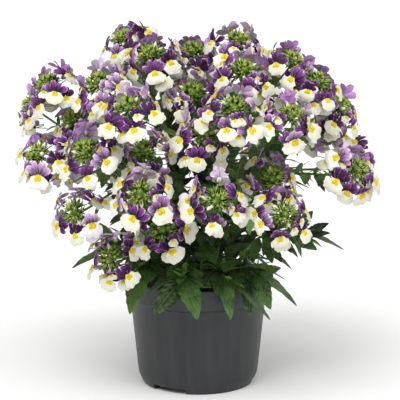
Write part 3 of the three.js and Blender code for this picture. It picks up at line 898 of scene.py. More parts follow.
petalLooks = {
    "darkViolet": "46124f",
    "violet": "863e8e",
    "deepViolet": "1e0428",
    "fadedViolet": "d8b0dc",
    "violetRim": "dcc8e2",
    "lilac": "c493d3",
    "paleLilac": "efe2f2",
    "lilacVein": "66347c",
    "white": "d8d8c9",
    "cream": "e6e398",
    "yellow": "d3c024",
    "orange": "cf981a",
}


def veins(finish, count, start, reach):
    along, across, tone = finish.pattern()
    inputs = {"Along": along, "Across": across, "Tone": tone, "Lines": count, "Start": start, "Reach": reach}
    group = addNode(finish.tree, "ShaderNodeGroup", {"node_tree": petalVeins}, **inputs)
    return Output(finish.tree, group.outputs[0]), Output(finish.tree, group.outputs[1])


def violetFace():
    finish = Finish("violetFace", petalLooks, 0.6, 0.25)
    along, _, tone = finish.pattern()
    lines, rim = veins(finish, 11.0, 0.35, 1.0)
    streaks, _ = veins(finish, 8.0, 2.0, 3.0)
    edge = (streaks * 0.22 + rim).fade(0.8, 1.14) * (tone * 0.45 + 0.55)
    finish.paint(
        "darkViolet",
        (tone.fade(0.1, 0.4), "violet"),
        (tone.fade(0.55, 1.0), "fadedViolet"),
        (edge, "violetRim"),
        (along.fade(0.8, 0.15) * 0.8, "deepViolet"),
        (lines, "deepViolet"),
    )
    return finish.emboss(lines, 0.25, 0.0002)


def lilacBack():
    finish = Finish("lilacBack", petalLooks, 0.65, 0.25)
    _, _, tone = finish.pattern()
    lines, _ = veins(finish, 9.0, 0.3, 1.15)
    finish.paint("lilac", (tone.fade(0.25, 1.1), "paleLilac"), (lines * 0.42, "lilacVein"))
    return finish.emboss(lines, 0.25, 0.0002)


def whiteLip():
    finish = Finish("whiteLip", petalLooks, 0.6, 0.3)
    along, across, tone = finish.pattern()
    lines, _ = veins(finish, 12.0, 0.3, 1.2)
    reach = along + abs(across - 0.5) * 1.3
    finish.paint(
        "white",
        (tone.fade(0.7, 1.0) * 0.6, "paleLilac"),
        (reach.fade(0.74, 0.32), "cream"),
        (reach.fade(0.36, 0.15), "yellow"),
        (lines * 0.1, "lilacVein"),
    )
    return finish.emboss(lines, 0.3, 0.0002)


def yellowBoss():
    finish = Finish("yellowBoss", petalLooks, 0.6, 0.3)
    fleck = finish.noise(900.0, 2.0)
    finish.paint("yellow", (fleck.fade(0.48, 0.7), "orange"))
    return finish.emboss(fleck, 0.4, 0.0003)


greenLooks = {
    "young": "9db046",
    "fresh": "5c8029",
    "leaf": "52763a",
    # dark green for darker leaf patches, and painted shade for leaves in the plant's middle and at the buds' feet
    "darkGreenAndShade": "0f1e0a",
    "vein": "728f54",
    "under": "66804a",
    # painted sheen: light bluish patches on the upper faces of the leaves
    "paintedSheen": "748f6a",
    "tuft": "7cb032",
    "stalk": "6b8a36",
    "stalkDark": "446220",
    "budCream": "e2e3bd",
}


def budGreen():
    finish = Finish("budGreen", greenLooks, 0.5)
    _, along, tone = finish.pattern()
    tip = tone.fade(0.1, 0.9) * along.fade(0.0, 0.7)
    # Painted shade: buds, sepals and stalks are dark green at their feet, where they crowd, and lighter towards their
    # tips
    finish.paint("darkGreenAndShade", (along.fade(0.2, 1.0), "fresh"), (tip, "young"))
    return finish.emboss(finish.noise(2500.0, 2.0), 0.3, 0.0002)


def budCream():
    finish = Finish("budCream", greenLooks, 0.5)
    _, along, _ = finish.pattern()
    finish.paint("young", (along.fade(0.1, 0.6), "budCream"))
    return finish.emboss(finish.noise(2000.0, 2.0), 0.3, 0.0002)


def stalkSkin():
    finish = Finish("stalkSkin", greenLooks, 0.45)
    fine = finish.noise(700.0, 2.0, (1, 1, 0.15))
    finish.paint("stalkDark", (finish.noise(45.0).fade(0.35, 0.65), "stalk"), (fine * 0.35, "fresh"))
    return finish.emboss(fine, 0.4, 0.0003)


# A blade has a midrib, slanting side veins and two nerves along it
def leafFinish(name, face):
    finish = Finish(name, greenLooks, 0.36 if face else 0.6)
    across, along, tone = finish.pattern()
    aside = abs(across * 2.0 - 1.0)
    wave = abs((along * 6.0 - aside * 2.4).calc("FRACT") - 0.5)
    side = wave.fade(0.09, 0.02) * aside.fade(1.0, 0.75)
    nerve = abs(aside - 0.45).fade(0.09, 0.02) * along.fade(0.9, 0.5)
    lines = aside.fade(0.09, 0.02).calc("MAXIMUM", nerve.calc("MAXIMUM", side) * 0.5)
    # Painted sheen: light bluish patches on the upper face stand in for its shine; the back is paler all over
    if face:
        paintedSheenOrPaleBack = (finish.noise(320.0, 2.0).fade(0.45, 0.72) * 0.4, "paintedSheen")
    else:
        paintedSheenOrPaleBack = (0.55, "under")
    finish.paint(
        "darkGreenAndShade",
        (finish.noise(60.0).fade(0.2, 0.66), "leaf"),
        (tone.fade(0.3, 1.0), "fresh"),
        (tone.fade(0.75, 1.2), "tuft"),
        # painted shade: leaves of low tone, which those in the middle of the plant get, turn dark green
        (tone.fade(0.3, 0.0), "darkGreenAndShade"),
        paintedSheenOrPaleBack,
        (lines * 0.55, "vein"),
    )
    return finish.emboss(wave * 0.6 - lines, 0.9 if face else 0.5, 0.0009)


# Pot

potPlan = {
    "outside": [(44, 0), (47.7, 8), (53.7, 67.5), (57.6, 70.5), (60, 86)],
    "inside": [(58.2, 86), (55.8, 71.5), (52.5, 67.5), (46.5, 9), (42, 5.7), (0, 5.7)],
    "underside": [(0, 4.5), (39, 4.5), (40, 0)],
    "rounding": [0, 0.6, 0.6, 0.8, 2.5, 1.2, 1.6, 0.7, 0.7, 1.2, 1.2, 2.0, 1.2, 0],
    "roundingSteps": 4,
    "sides": 112,
    "footGaps": (-31, 89, 209),  # degrees from the front, seen from above
    "footGapWidth": 38,
    "footGapSteps": 12,
    "footGapReach": (36, 60),  # radii between which a gap is cut
    "footGapTop": 4.3,
    "drains": 4,
    "drainSides": 20,
    "drainRadius": 3.5,
    "drainCircle": 28,
    "drainTop": 9,
    "cutBottom": -1,
    "creaseAngle": 35,
    "streak": "2a2b2e",
    "plastic": "1b1c1f",
    "scuff": "323338",
}


def circlePoints(radius, turns, height, x=0, y=0):
    return [(x + radius * math.cos(turn), y + radius * math.sin(turn), height) for turn in turns]


def evenTurns(sides):
    return [k / sides * 2 * math.pi for k in range(sides)]


# Rounds each corner of a profile by its own radius
def rounded(profile, radii, steps):
    points = [profile[0]]
    for (a, b, c), radius in zip(zip(profile, profile[1:], profile[2:]), radii[1:-1]):
        a, b, c = (np.array(p, float) for p in (a, b, c))
        reach = min(radius, np.linalg.norm(a - b) * 0.45, np.linalg.norm(c - b) * 0.45)
        start, end = b + unit(a - b) * reach, b + unit(c - b) * reach
        for k in range(steps + 1):
            t = k / steps
            points.append(tuple((1 - t) ** 2 * start + 2 * (1 - t) * t * b + t * t * end))
    points.append(profile[-1])
    return points


# Closes rings of points, one above the other, to a body. The first and last ring may be a single point.
def addRings(shape, rings):
    rings = [[shape.verts.new([value / 1000 for value in point]) for point in ring] for ring in rings]
    for low, high in zip(rings, rings[1:]):
        sides = max(len(low), len(high))
        for k in range(sides):
            n = (k + 1) % sides
            corners = (low[k % len(low)], low[n % len(low)], high[n % len(high)], high[k % len(high)])
            shape.faces.new(list(dict.fromkeys(corners)))
    for ring in (rings[0][::-1], rings[-1]):
        if len(ring) > 1:
            shape.faces.new(ring)


def bodyOf(name, shape):
    bmesh.ops.recalc_face_normals(shape, faces=shape.faces[:])
    mesh = bpy.data.meshes.new(name)
    shape.to_mesh(mesh)
    shape.free()
    return linked(name, mesh)


# Turns a profile that starts and ends on the axis
def turnedObject(name, profile, sides):
    shape = bmesh.new()
    addRings(shape, [circlePoints(r, evenTurns(sides) if r > 1e-6 else [0], height) for r, height in profile])
    return bodyOf(name, shape)


def potCuts():
    cuts, bottom = bmesh.new(), potPlan["cutBottom"]
    steps, (inner, outer) = potPlan["footGapSteps"], potPlan["footGapReach"]
    for centre in potPlan["footGaps"]:
        start = (centre - 90 - potPlan["footGapWidth"] / 2) * degree
        turns = [start + potPlan["footGapWidth"] * degree * k / steps for k in range(steps + 1)]
        heights = (bottom, potPlan["footGapTop"])
        addRings(cuts, [circlePoints(outer, turns, z) + circlePoints(inner, turns[::-1], z) for z in heights])
    for k in range(potPlan["drains"]):
        turn = (k + 0.5) / potPlan["drains"] * 2 * math.pi
        x, y = potPlan["drainCircle"] * math.cos(turn), potPlan["drainCircle"] * math.sin(turn)
        turns = evenTurns(potPlan["drainSides"])
        addRings(cuts, [circlePoints(potPlan["drainRadius"], turns, z, x, y) for z in (bottom, potPlan["drainTop"])])
    return bodyOf("potCuts", cuts)


def buildPot():
    profile = potPlan["underside"] + potPlan["outside"] + potPlan["inside"]
    profile = rounded(profile, potPlan["rounding"], potPlan["roundingSteps"])
    piece, cutter = turnedObject("potShell", profile, potPlan["sides"]), potCuts()
    cut = piece.modifiers.new("cut", "BOOLEAN")
    cut.object, cut.operation, cut.solver = cutter, "DIFFERENCE", "EXACT"
    graph = bpy.context.evaluated_depsgraph_get()
    result = bpy.data.meshes.new_from_object(piece.evaluated_get(graph), depsgraph=graph)
    piece.modifiers.clear()
    piece.data = result
    bpy.data.objects.remove(cutter)
    result.polygons.foreach_set("use_smooth", [True] * len(result.polygons))
    result.set_sharp_from_angle(angle=potPlan["creaseAngle"] * degree)
    return piece


def potPlastic():
    finish = Finish("potPlastic", potPlan, 0.4)
    streaks, grain, cloud = finish.noise(180.0, 3.0, (1, 1, 0.035)), finish.noise(1400.0), finish.noise(22.0, 2.0)
    finish.paint("plastic", (streaks.fade(0.3, 0.8), "streak"), (cloud.fade(0.4, 0.8) * 0.25, "scuff"))
    rough = grain * 0.08 + (streaks * 0.12 + 0.34)
    finish.tree.links.new(rough.socket, finish.inputs["Roughness"])
    return finish.emboss(grain * 0.35 + streaks * 0.65, 0.25, 0.0003)


pot = buildPot()
pot.data.materials.clear()
pot.data.materials.append(potPlastic())
print("pot:", len(pot.data.polygons), "faces")

# Soil

soilPlan = {
    "profile": [(0, 6), (41.6, 6), (46.2, 9.2), (52.2, 67.5), (55.8, 77.5)],
    "rings": 16,
    "sides": 84,
    "relief": 0.9,
    "fineRelief": 0.45,
    "crumbs": 420,
    "crumbReach": 53.5,  # from the pot's axis
    "crumbShapes": 4,
    "crumbLift": 0.2,
    "peat": "2b2019",
    "dry": "5a4634",
    "perlite": "8b8072",
}


def soilHeight(x, y):
    radius = math.hypot(x, y)
    rim = soilPlan["profile"][-1][0]
    rise = stemPlan["soilRise"] * ramp(rim - radius, 0, rim / 2)
    wave = soilPlan["relief"] * math.sin(x * 0.31 + y * 0.17) * math.cos(y * 0.27 - x * 0.11)
    fine = math.sin(x * 1.3 + 2.1 * math.cos(y * 0.9)) * math.cos(y * 1.1 + 1.7 * math.sin(x * 0.8))
    return stemPlan["soilTop"] + rise + wave + soilPlan["fineRelief"] * fine * min(1, (rim - radius) / 6)


def buildSoil():
    rim = soilPlan["profile"][-1][0]
    inner = [(rim * (1 - k / soilPlan["rings"]), stemPlan["soilTop"]) for k in range(1, soilPlan["rings"] + 1)]
    piece = turnedObject("pottingSoil", soilPlan["profile"] + inner, soilPlan["sides"])
    for vertex in piece.data.vertices:
        x, y, z = vertex.co * 1000
        if z > stemPlan["soilTop"] - 1:
            vertex.co.z = soilHeight(x, y) / 1000
    piece.data.polygons.foreach_set("use_smooth", [True] * len(piece.data.polygons))
    return piece


def crumbShape(seed):
    shape = Shape()
    centres = [(0, 0, height) for height in (-1, -0.45, 0.45, 1)]
    shape.addSpindle(centres, (0, 0.9, 0.8, 0), 5, 0)
    points = np.array(shape.points)
    for k in range(len(points)):
        points[k] *= 1 + spread(seed * 31 + k, 1, 0.3)
    shape.points = points.tolist()
    return shape


def soilSkin():
    finish = Finish("soilSkin", soilPlan, 0.95)
    fine, wide = finish.noise(420.0, 5.0), finish.noise(60.0)
    finish.paint("peat", (fine.fade(0.35, 0.75), "dry"), (wide.fade(0.6, 0.8) * 0.3, "perlite"))
    return finish.emboss(fine, 0.9, 0.001)


def placeCrumbs():
    crumbs = Scatter()
    for k in range(soilPlan["crumbs"]):
        radius, around = soilPlan["crumbReach"] * math.sqrt(draw(k, 21)), draw(k, 22) * 2 * math.pi
        x, y = radius * math.cos(around), radius * math.sin(around)
        out = unit(np.array([spread(k, 23, 1), spread(k, 24, 1), spread(k, 25, 1)]))
        right = unit(cross(up, out))
        place, frame = (x, y, soilHeight(x, y) + soilPlan["crumbLift"]), (right, cross(out, right), out)
        crumbs.add(place, frame, k % soilPlan["crumbShapes"], size=0.5 + 1.3 * draw(k, 26) ** 3)
    return crumbs.toObject("crumbPoints")


soilMaterial = soilSkin()
soil = buildSoil()
soil.data.materials.append(soilMaterial)
crumbShapes = variantCollection("crumb", [crumbShape(k) for k in range(soilPlan["crumbShapes"])])
soilCrumbs = grown("soilCrumbs", placeCrumbs(), scatterTree("scatterCrumbs", 1), [soilMaterial], Variants=crumbShapes)
dropCollection(crumbShapes)

# Stalks

stalkPlan = {
    "step": 5,
    "sides": 8,
    "leader": (1.6, 1.05),  # radius at the foot and at the tip
    "branches": (1.1, 0.85),
    "shoots": (1.2, 0.8),
}


def stalkLines():
    points, edges, girths = [], [], []
    for stem in stems:
        curves = [(stem["leader"], stalkPlan["leader"])]
        curves += [(curve, stalkPlan[kind]) for kind in ("branches", "shoots") for curve in stem[kind]]
        for curve, (foot, tip) in curves:
            count = math.ceil(curve.length / stalkPlan["step"])
            first = len(points)
            points.extend(curve.even(np.arange(count + 1) / count))
            girths.extend(np.linspace(foot, tip, count + 1) / 1000)
            edges.extend((first + k, first + k + 1) for k in range(count))
    mesh = newMesh("stalkLines", points, edges)
    addValues(mesh, "girth", "FLOAT", girths)
    return linked("stalkLines", mesh)


stalks = grown("stalks", stalkLines(), sweepTree("sweepStalks"), [stalkSkin()], Sides=stalkPlan["sides"])

# Leaves

bladePlan = {
    "variants": 5,
    "teeth": 7,  # on each side, of three rows each
    "columns": 6,
    "smallTeeth": 3,
    "smallColumns": 4,
    "thickness": 0.012,  # for a length of 1
    "toothDepth": 0.13,
    "ripple": 0.022,
    "settled": 0.92,  # blades are a little shorter than the room that the plan keeps for them
    "stiffness": 0.55,  # and sag this much of what it allows
    "lift": 6,  # degrees
    "youngTone": 0.8,
    "toneReach": 0.78,
    # painted shade: leaves in the middle of the plant are painted darker by this share, for the shade that falls there
    "shade": 0.8,  # how much darker leaves are in the middle of the plant
    "shadeRadius": 55,
}


# A blade of length 1000, so that its size in metres is 1
def bladeShape(seed, teeth, columns):
    shape = Shape()
    rows = 3 * teeth
    share = np.linspace(0, 1, rows + 1)[:, None] * np.ones(columns + 1)
    across = np.ones(rows + 1)[:, None] * np.linspace(-1, 1, columns + 1)
    half = leafHalf(np.clip(share, 0.004, 0.994), leafPlan["ratio"] * 1.12)
    saw = (np.arange(rows + 1) % 3 / 2 - 0.5)[:, None]
    half = half * (1 + bladePlan["toothDepth"] * saw * (np.abs(across) > 0.99) * (share > 0.1))
    x = across * half
    fold = np.abs(x) * leafPlan["fold"] * (0.6 - 0.35 * np.abs(across))
    ripple = bladePlan["ripple"] * across**2 * np.sin(share * 15 + seed * 2 + across * 1.3) * (1 - share)
    lean = 0.03 * math.sin(seed * 2.7) * share**2
    grid = np.stack([x + lean, share, fold + ripple], axis=2) * 1000
    pattern = np.stack([across / 2 + 0.5, share], axis=2)
    shape.addBlade(grid, pattern, bladePlan["thickness"] * 1000, 0, 1)
    shape.more["share"] = [point[1] / 1000 for point in shape.points]
    return shape


def bladeCollection(name, teeth, columns):
    return variantCollection(name, [bladeShape(k, teeth, columns) for k in range(bladePlan["variants"])])


def buildLeaves(name, plans, shapes):
    scatter = Scatter()
    lift = bladePlan["lift"] * degree
    for leaf in plans:
        across, along, normal = leaf["frame"]
        seed, length = leaf["seed"], leaf["length"] / 1000
        # Painted shade: leaves nearer the plant's axis get a lower tone and so are painted darker
        depth = 1 - ramp(math.hypot(*leaf["own"][:2]), 0, bladePlan["shadeRadius"])
        tone = bladePlan["toneReach"] * draw(seed, 32) * (1 - bladePlan["shade"] * depth)
        scatter.add(
            leaf["own"],
            (across, turned(along, across, lift), turned(normal, across, lift)),
            int(draw(seed, 31) * bladePlan["variants"]),
            size=length * bladePlan["settled"],
            tone=tone + (bladePlan["youngTone"] if "young" in leaf else 0),
            sag=-leaf["droop"] * length * bladePlan["stiffness"],
        )
    return grown(name, scatter.toObject(name + "Points"), leafTree, leafFinishes, Variants=shapes)


leafFinishes = [leafFinish("leafFace", True), leafFinish("leafBack", False)]
leafTree = scatterTree("growLeaves", 2, sags=True)
blades = bladeCollection("blade", bladePlan["teeth"], bladePlan["columns"])
leafBlades = buildLeaves("leafBlades", leaves, blades)
rimBlades = buildLeaves("rimLeaves", rimLeaves, blades)
dropCollection(blades)
smallBlades = bladeCollection("smallBlade", bladePlan["smallTeeth"], bladePlan["smallColumns"])
smallLeaves = buildLeaves("smallLeaves", fillers, smallBlades)
dropCollection(smallBlades)

# Bud clusters

budPlan = {
    "count": 24,  # to a head
    "spread": 112,  # degrees from the head's axis to the lowest buds
    "radius": 5.8,
    "height": 6.0,
    "centre": 0.4,
    "opening": 3,  # creamy buds to a head
    "closed": 8,  # buds nearest the axis that never open
    "core": 4.0,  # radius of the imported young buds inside
    "sepals": 5,
    "shapes": [(0, 0.3), (0, 0.8), (0, 1.1), (0, 0.95), (1, 0.8), (1, 1.0)],  # how open, reach of the sepals
}


# A bud on its stalk, inside sepals that stand out like a star
def budShape(seed, opening, reach):
    shape = Shape()
    body = 1.0 + 0.35 * opening
    centres = [(0, 0, height) for height in (-1.4, -0.5, 1.2 * body, 3.0 * body)]
    shape.addSpindle(centres, (0, 0.75 * body, 0.85 * body, 0), 5, opening)
    for k in range(budPlan["sepals"]):
        turn = (k + spread(seed * 7 + k, 1, 0.15)) / budPlan["sepals"] * 2 * math.pi
        outward = np.array([math.cos(turn), math.sin(turn), 0.0])
        lean = reach * (1 + spread(seed * 7 + k, 2, 0.25))
        foot = outward * 0.3 + np.array([0, 0, -1.1])
        middle = outward * (0.75 + 0.6 * lean) + np.array([0, 0, 1.1])
        tip = outward * (0.8 + 1.9 * lean) + np.array([0, 0, 4.1 - 0.9 * lean])
        shape.addSpindle([foot, middle, tip], (0, 0.5, 0), 3, 0, 0.8)
    shape.addSpindle([(0, 0, height) for height in (-7.5, -6.5, -1, -0.4)], (0, 0.32, 0.36, 0), 3, 0)
    return shape


def coreShape():
    shape = Shape()
    turns = np.linspace(0, math.pi, 6)
    centres = [(0, 0, -budPlan["core"] * math.cos(turn)) for turn in turns]
    shape.addSpindle(centres, budPlan["core"] * np.sin(turns), 9, 0)
    return shape


def placeBuds():
    scatter = Scatter()
    golden = math.pi * (3 - math.sqrt(5))
    count, closed = budPlan["count"], budPlan["closed"]
    for i, head in enumerate(heads):
        for k in range(count):
            seed = 9000 + 60 * i + k
            share = (k + 0.5) / count
            polar = math.acos(1 - share * (1 - math.cos(budPlan["spread"] * degree)))
            around = k * golden + spread(seed, 1, 0.35)
            radial = radialOf(head, around)
            sine, cosine = math.sin(polar), math.cos(polar)
            jitter = 1 + spread(seed, 2, 0.1)
            place = head["centre"] + radial * (budPlan["radius"] * sine * jitter)
            place = place + head["axis"] * (budPlan["centre"] + budPlan["height"] * cosine * jitter)
            out = unit(radial * sine + head["axis"] * (cosine + 0.25))
            out = turned(out, radialOf(head, around + math.pi / 2), spread(seed, 3, 0.3))
            right = unit(cross(out, radial + head["axis"] * 0.01))
            isOpening = k > closed and draw(seed, 4) < budPlan["opening"] / (count - closed)
            variant = 4 + k % 2 if isOpening else (0 if share < 0.18 else 1 + k % 3)
            size = (0.95 + 0.5 * min(1, share * 2)) * (1 + spread(seed, 5, 0.22))
            tone = max(0, 1 - share * 1.6) * 0.8 + 0.35 * draw(seed, 6)
            scatter.add(place, (right, cross(out, right), out), variant, size=size, tone=tone)
        middle = head["centre"] + head["axis"] * budPlan["centre"]
        scatter.add(middle, (head["right"], head["top"], head["axis"]), len(budPlan["shapes"]), size=1, tone=0)
    return scatter.toObject("budPoints")


budShapes = [budShape(k, *facts) for k, facts in enumerate(budPlan["shapes"])]
budVariants = variantCollection("bud", [*budShapes, coreShape()])
budMaterial = budGreen()
budFinishes = [budMaterial, budCream()]
budClusters = grown("budClusters", placeBuds(), scatterTree("scatterBuds", 2), budFinishes, Variants=budVariants)
dropCollection(budVariants)

# Florets

floretPlan = {
    "thickness": 0.28,
    "lobes": [  # foot, tip and half width of the lobes on the right, and how far behind the others they lie
        ((0.9, 1.2, 0.2), (3.0, 9.6, -1.3), 2.8, 0.0),
        ((1.7, 0.5, 0.0), (8.1, 5.6, -1.2), 2.8, 0.35),
    ],
    "lip": {"centre": -4.1, "halfWidth": 7.4, "halfHeight": 5.8},
    "sepals": 5,
    "stalk": 17,
    "level": 0.6,  # how far the florets turn to face sideways, whichever way their head leans
    "second": {"count": 4, "radius": 17.5, "height": -9, "tilt": 10, "size": 0.88},  # a ring behind the first
    "young": {"count": 2, "radius": 11.5, "height": 3.5, "tilt": 50, "size": 0.55},  # beside the buds
    # how each variant differs: degrees that the lobes lean back and that the lip stands forward, how far the
    # lobes close up, how far the lip's edge hangs, and how much the petals curl
    "variants": [
        (0, 26, 1.0, 1.0, 0.12),
        (14, 34, 0.95, 1.6, 0.16),
        (-12, 18, 1.0, 0.6, 0.07),
        (26, 30, 0.9, 1.2, 0.22),
        (8, 22, 0.78, 2.2, 0.28),
        (-26, 8, 0.66, 3.0, 0.34),
        (20, 38, 1.05, 1.8, 0.14),
        (34, 28, 0.85, 0.8, 0.2),
    ],
}


# A disc of rows and columns of points, from the foot to the tip
def discGrid(rows, columns):
    y = np.linspace(-1, 1, rows + 1)[:, None] * np.ones(columns + 1)
    x = np.ones(rows + 1)[:, None] * np.linspace(-1, 1, columns + 1)
    return x * np.sqrt(1 - y * y / 2), y * np.sqrt(1 - x * x / 2)


def addLobe(shape, foot, tip, half, behind, lean, close, curl, seed):
    foot, tip = np.array(foot, float), np.array(tip, float)
    lean = (lean + spread(seed, 4, 20)) * degree
    reach = (tip - foot) * (1 + spread(seed, 5, 0.12))
    reach = reach * (close, 1, 1)
    reach = np.array([reach[0], reach[1] * math.cos(lean), reach[2] - np.linalg.norm(reach[:2]) * math.sin(lean)])
    side = unit(cross(reach, np.array([0.0, 0.0, 1.0])))
    side = turned(side, unit(reach), spread(seed, 6, 34) * degree)
    normal = unit(cross(side, reach))
    x, y = discGrid(3, 4)
    share = (y + 1) / 2
    width = half * (0.62 + 0.62 * share) * (1 + spread(seed, 1, 0.14))
    bow = curl * half * (x * x) * (1 if draw(seed, 2) > 0.35 else -1) + 0.5 * np.sin(share * math.pi)
    bow = bow + spread(seed, 3, 0.9) * x * share + 0.35 * share * np.sin(x * 4 + seed) - behind
    grid = foot + share[:, :, None] * reach + (x * width)[:, :, None] * side + bow[:, :, None] * normal
    pattern = np.stack([share, x / 2 + 0.5], axis=2)
    shape.addBlade(grid, pattern, floretPlan["thickness"], 0, 1)


def addLip(shape, forward, hang, seed):
    lip = floretPlan["lip"]
    x, y = discGrid(5, 8)
    y = -y
    radius = np.sqrt(np.minimum(x * x + y * y, 1))
    turn = np.arctan2(y, x)
    frill = 1 + (0.06 * np.sin(turn * 8 + seed) + 0.045 * np.sin(turn * 3 + seed * 2.3)) * radius
    notch = 1.1 * np.exp(-((x * 4.2) ** 2)) * np.clip(-y - 0.45, 0, 1)
    px = lip["halfWidth"] * x * frill * (1 - 0.15 * np.clip(y, 0, 1))
    py = lip["centre"] + lip["halfHeight"] * y * frill + notch
    pz = 0.9 + 0.7 * (1 - radius**2) - hang * (radius * np.clip(0.3 - y, 0, 2) / 1.3) ** 2
    pz = pz + 0.8 * radius**3 * np.sin(turn * 7 + seed * 1.7)
    below = np.minimum(py - 0.5, 0)
    py = py - below + below * math.cos(forward)
    pz = pz - below * math.sin(forward)
    grid = np.stack([px, py, pz], axis=2)
    pattern = np.stack([(1 - y) / 2, x / 2 + 0.5], axis=2)
    shape.addBlade(grid[:, ::-1], pattern[:, ::-1], floretPlan["thickness"], 2, 2)


def floretShape(k):
    lean, forward, close, hang, curl = floretPlan["variants"][k]
    shape = Shape()
    for j, (foot, tip, half, behind) in enumerate(floretPlan["lobes"]):
        for side in (1, -1):
            mirror = np.array([side, 1, 1])
            seed = 40 + 10 * k + 2 * j + (side > 0)
            addLobe(shape, foot * mirror, tip * mirror, half, behind, lean, close, curl, seed)
    addLip(shape, forward * degree, hang, k)
    slope = math.tan(forward * degree)
    for side in (-1.0, 1.0):  # the two yellow bosses of the palate
        centres = [
            (side * 1.2, 1.1, 1.0),
            (side * 1.2, 0.3, 1.4),
            (side * 1.15, -1.7, 1.4 + slope * 1.7),
            (side * 0.9, -3.3, 0.9 + slope * 3.3),
        ]
        shape.addSpindle(centres, (0, 1.2, 1.5, 0), 6, 3, 0.7)
    shape.addSpindle([(0, 0.3, 0.7), (0, 0, -0.2), (0, -0.5, -3.4), (0, -0.9, -5.0)], (0, 2.0, 1.1, 0), 5, 1)
    for j in range(floretPlan["sepals"]):
        turn = (j + 0.5) / floretPlan["sepals"] * 2 * math.pi
        outward = np.array([math.cos(turn), math.sin(turn), 0.0])
        middle = outward * 1.5 + np.array([0, -0.6, -3.4])
        shape.addSpindle([(0, -0.8, -5.2), middle, outward * 2.4 + np.array([0, -0.4, -1.4])], (0, 0.6, 0), 4, 4, 0.4)
    heights = (-floretPlan["stalk"], 1 - floretPlan["stalk"], -6, -4.8)
    shape.addSpindle([(0, -0.8, height) for height in heights], (0, 0.42, 0.42, 0), 4, 4)
    return shape


# Florets turn to face sideways and hold their lobes up, however their head leans
def naturalFrame(head, radial, seed):
    level = np.array([1, 1, 1 - floretPlan["level"]])
    rise = max(0.0, float(np.dot(radial, up)))
    share = (0.55 + spread(seed, 61, 0.35)) * (1 - rise)
    out = unit((radial + head["axis"] * share) * level)
    steady = 0.45 + spread(seed, 62, 0.35)
    top = up * steady + head["axis"] * (1 - steady)
    top = unit(top - out * float(np.dot(top, out)))
    top = turned(top, out, spread(seed, 63, 28) * degree)
    return cross(top, out), top, out


# A head's florets: those of the plan a little shifted, a looser ring that fills the gaps, and half-open ones
def looseFlorets(head, i):
    florets = []
    for floret in head["florets"]:
        seed = floret["seed"] + 0.5
        changes = {
            "radius": floret["radius"] + spread(seed, 1, 1.6),
            "height": floret["height"] + spread(seed, 2, 2.4),
            "tilt": floret["tilt"] + spread(seed, 3, 16) * degree,
            "twist": floret["twist"] + spread(seed, 4, 22) * degree,
            "size": floret["size"] * (0.95 + spread(seed, 5, 0.12)),
        }
        florets.append(floretAt(head, floret["around"], seed=seed, **changes))
    second, young = floretPlan["second"], floretPlan["young"]
    for k in range(second["count"]):
        seed = 5000 + 40 * i + k
        around = (k + 0.5 + spread(seed, 1, 0.3)) / second["count"] * 2 * math.pi + draw(i, 41) * 6
        tilt = (second["tilt"] + spread(seed, 2, 16)) * degree
        size = second["size"] * (1 + spread(seed, 3, 0.16))
        height = second["height"] + spread(seed, 4, 3)
        radius = second["radius"] + spread(seed, 6, 2.5)
        florets.append(floretAt(head, around, radius, height, tilt, spread(seed, 5, 0.5), size, seed))
    for k in range(young["count"]):
        seed = 7000 + 40 * i + k
        around, tilt = draw(seed, 1) * 2 * math.pi, (young["tilt"] + spread(seed, 2, 15)) * degree
        place = (young["radius"], young["height"], tilt, spread(seed, 5, 0.8))
        florets.append(floretAt(head, around, *place, young["size"], seed))
    return florets


def placeFlorets(name, chosen):
    scatter = Scatter()
    for i in chosen:
        for floret in looseFlorets(heads[i], i):
            seed = floret["seed"]
            frame = naturalFrame(heads[i], radialOf(heads[i], floret["around"]), seed)
            variant = int(draw(seed, 51) * len(floretPlan["variants"]))
            scatter.add(floret["place"], frame, variant, size=floret["size"], tone=draw(seed, 52))
    return scatter.toObject(name)


floretShapes = variantCollection("floret", [floretShape(k) for k in range(len(floretPlan["variants"]))])
floretFinishes = [violetFace(), lilacBack(), whiteLip(), yellowBoss(), budMaterial]
floretTree = scatterTree("scatterFlorets", len(floretFinishes))
floretPieces = []
for name, side in (("floretsFront", -1), ("floretsBack", 1)):
    chosen = [i for i, head in enumerate(heads) if head["side"] == side]
    points = placeFlorets(name + "Points", chosen)
    piece = grown(name, points, floretTree, floretFinishes, Variants=floretShapes)
    floretPieces.append((piece, "petals", [f"florets_{i + 1:02d}" for i in chosen]))
dropCollection(floretShapes)

# What each piece stands for

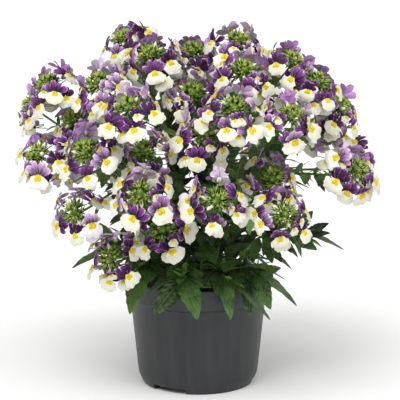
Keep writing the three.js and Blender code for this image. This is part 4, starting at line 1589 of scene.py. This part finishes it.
for piece, slot, nodes in (
    (pot, "pot_plastic", ["pot"]),
    (soil, "potting_soil", ["soil"]),
    (soilCrumbs, "potting_soil", []),
    (stalks, "green_plant", nodesNamed("stem_")),
    (leafBlades, "green_plant", nodesNamed("stem_")),
    (rimBlades, "green_plant", []),
    (smallLeaves, "green_plant", []),
    (budClusters, "green_plant", nodesNamed("stem_")),
    *floretPieces,
):
    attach(piece, "root")
    if nodes:
        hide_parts(*nodes)

# Studio

studioPlan = {
    "floor": 30000,  # across
    "paper": "f6f6f5",
    "paperSpeck": "f2f2f1",
    "world": 0.47,
    "lights": {  # where they shine from, degrees across, strength
        "key": ((-0.7, -1.4, 1.9), 42, 2.15),
        "fill": ((0.9, -1.3, 1.7), 50, 1.3),
    },
    "camera": (0.0016, -1.170, 0.354),
    "aim": (0.0016, 0.0, 0.146),
    "lens": 135.6,
}


def lookAt(piece, place, aim):
    piece.location = place
    piece.rotation_euler = (Vector(aim) - Vector(place)).to_track_quat("-Z", "Y").to_euler()


def buildFloor():
    half = studioPlan["floor"] / 2
    corners = [(-half, -half, 0), (half, -half, 0), (half, half, 0), (-half, half, 0)]
    floor = linked("studioFloor", newMesh("studioFloor", corners, faces=[(0, 1, 2, 3)]))
    finish = Finish("studioPaper", studioPlan, 0.9, 0.2)
    finish.paint("paper", (finish.noise(4.0, 2.0), "paperSpeck"))
    floor.data.materials.append(finish.material)


def buildLights():
    for name, (place, across, strength) in studioPlan["lights"].items():
        light = bpy.data.lights.new(name + "Light", "SUN")
        light.angle, light.energy = across * degree, strength
        lookAt(linked(name + "Light", light), place, (0, 0, 0))
    scene.world = scene.world or bpy.data.worlds.new("studio")
    scene.world.use_nodes = True
    background = scene.world.node_tree.nodes["Background"]
    background.inputs["Color"].default_value = (1, 1, 1, 1)
    background.inputs["Strength"].default_value = studioPlan["world"]


def buildCamera():
    data = bpy.data.cameras.new("camera")
    data.lens, data.sensor_width = studioPlan["lens"], 36
    scene.camera = linked("camera", data)
    lookAt(scene.camera, studioPlan["camera"], studioPlan["aim"])


buildFloor()
buildLights()
buildCamera()
scene.view_settings.view_transform = "Standard"
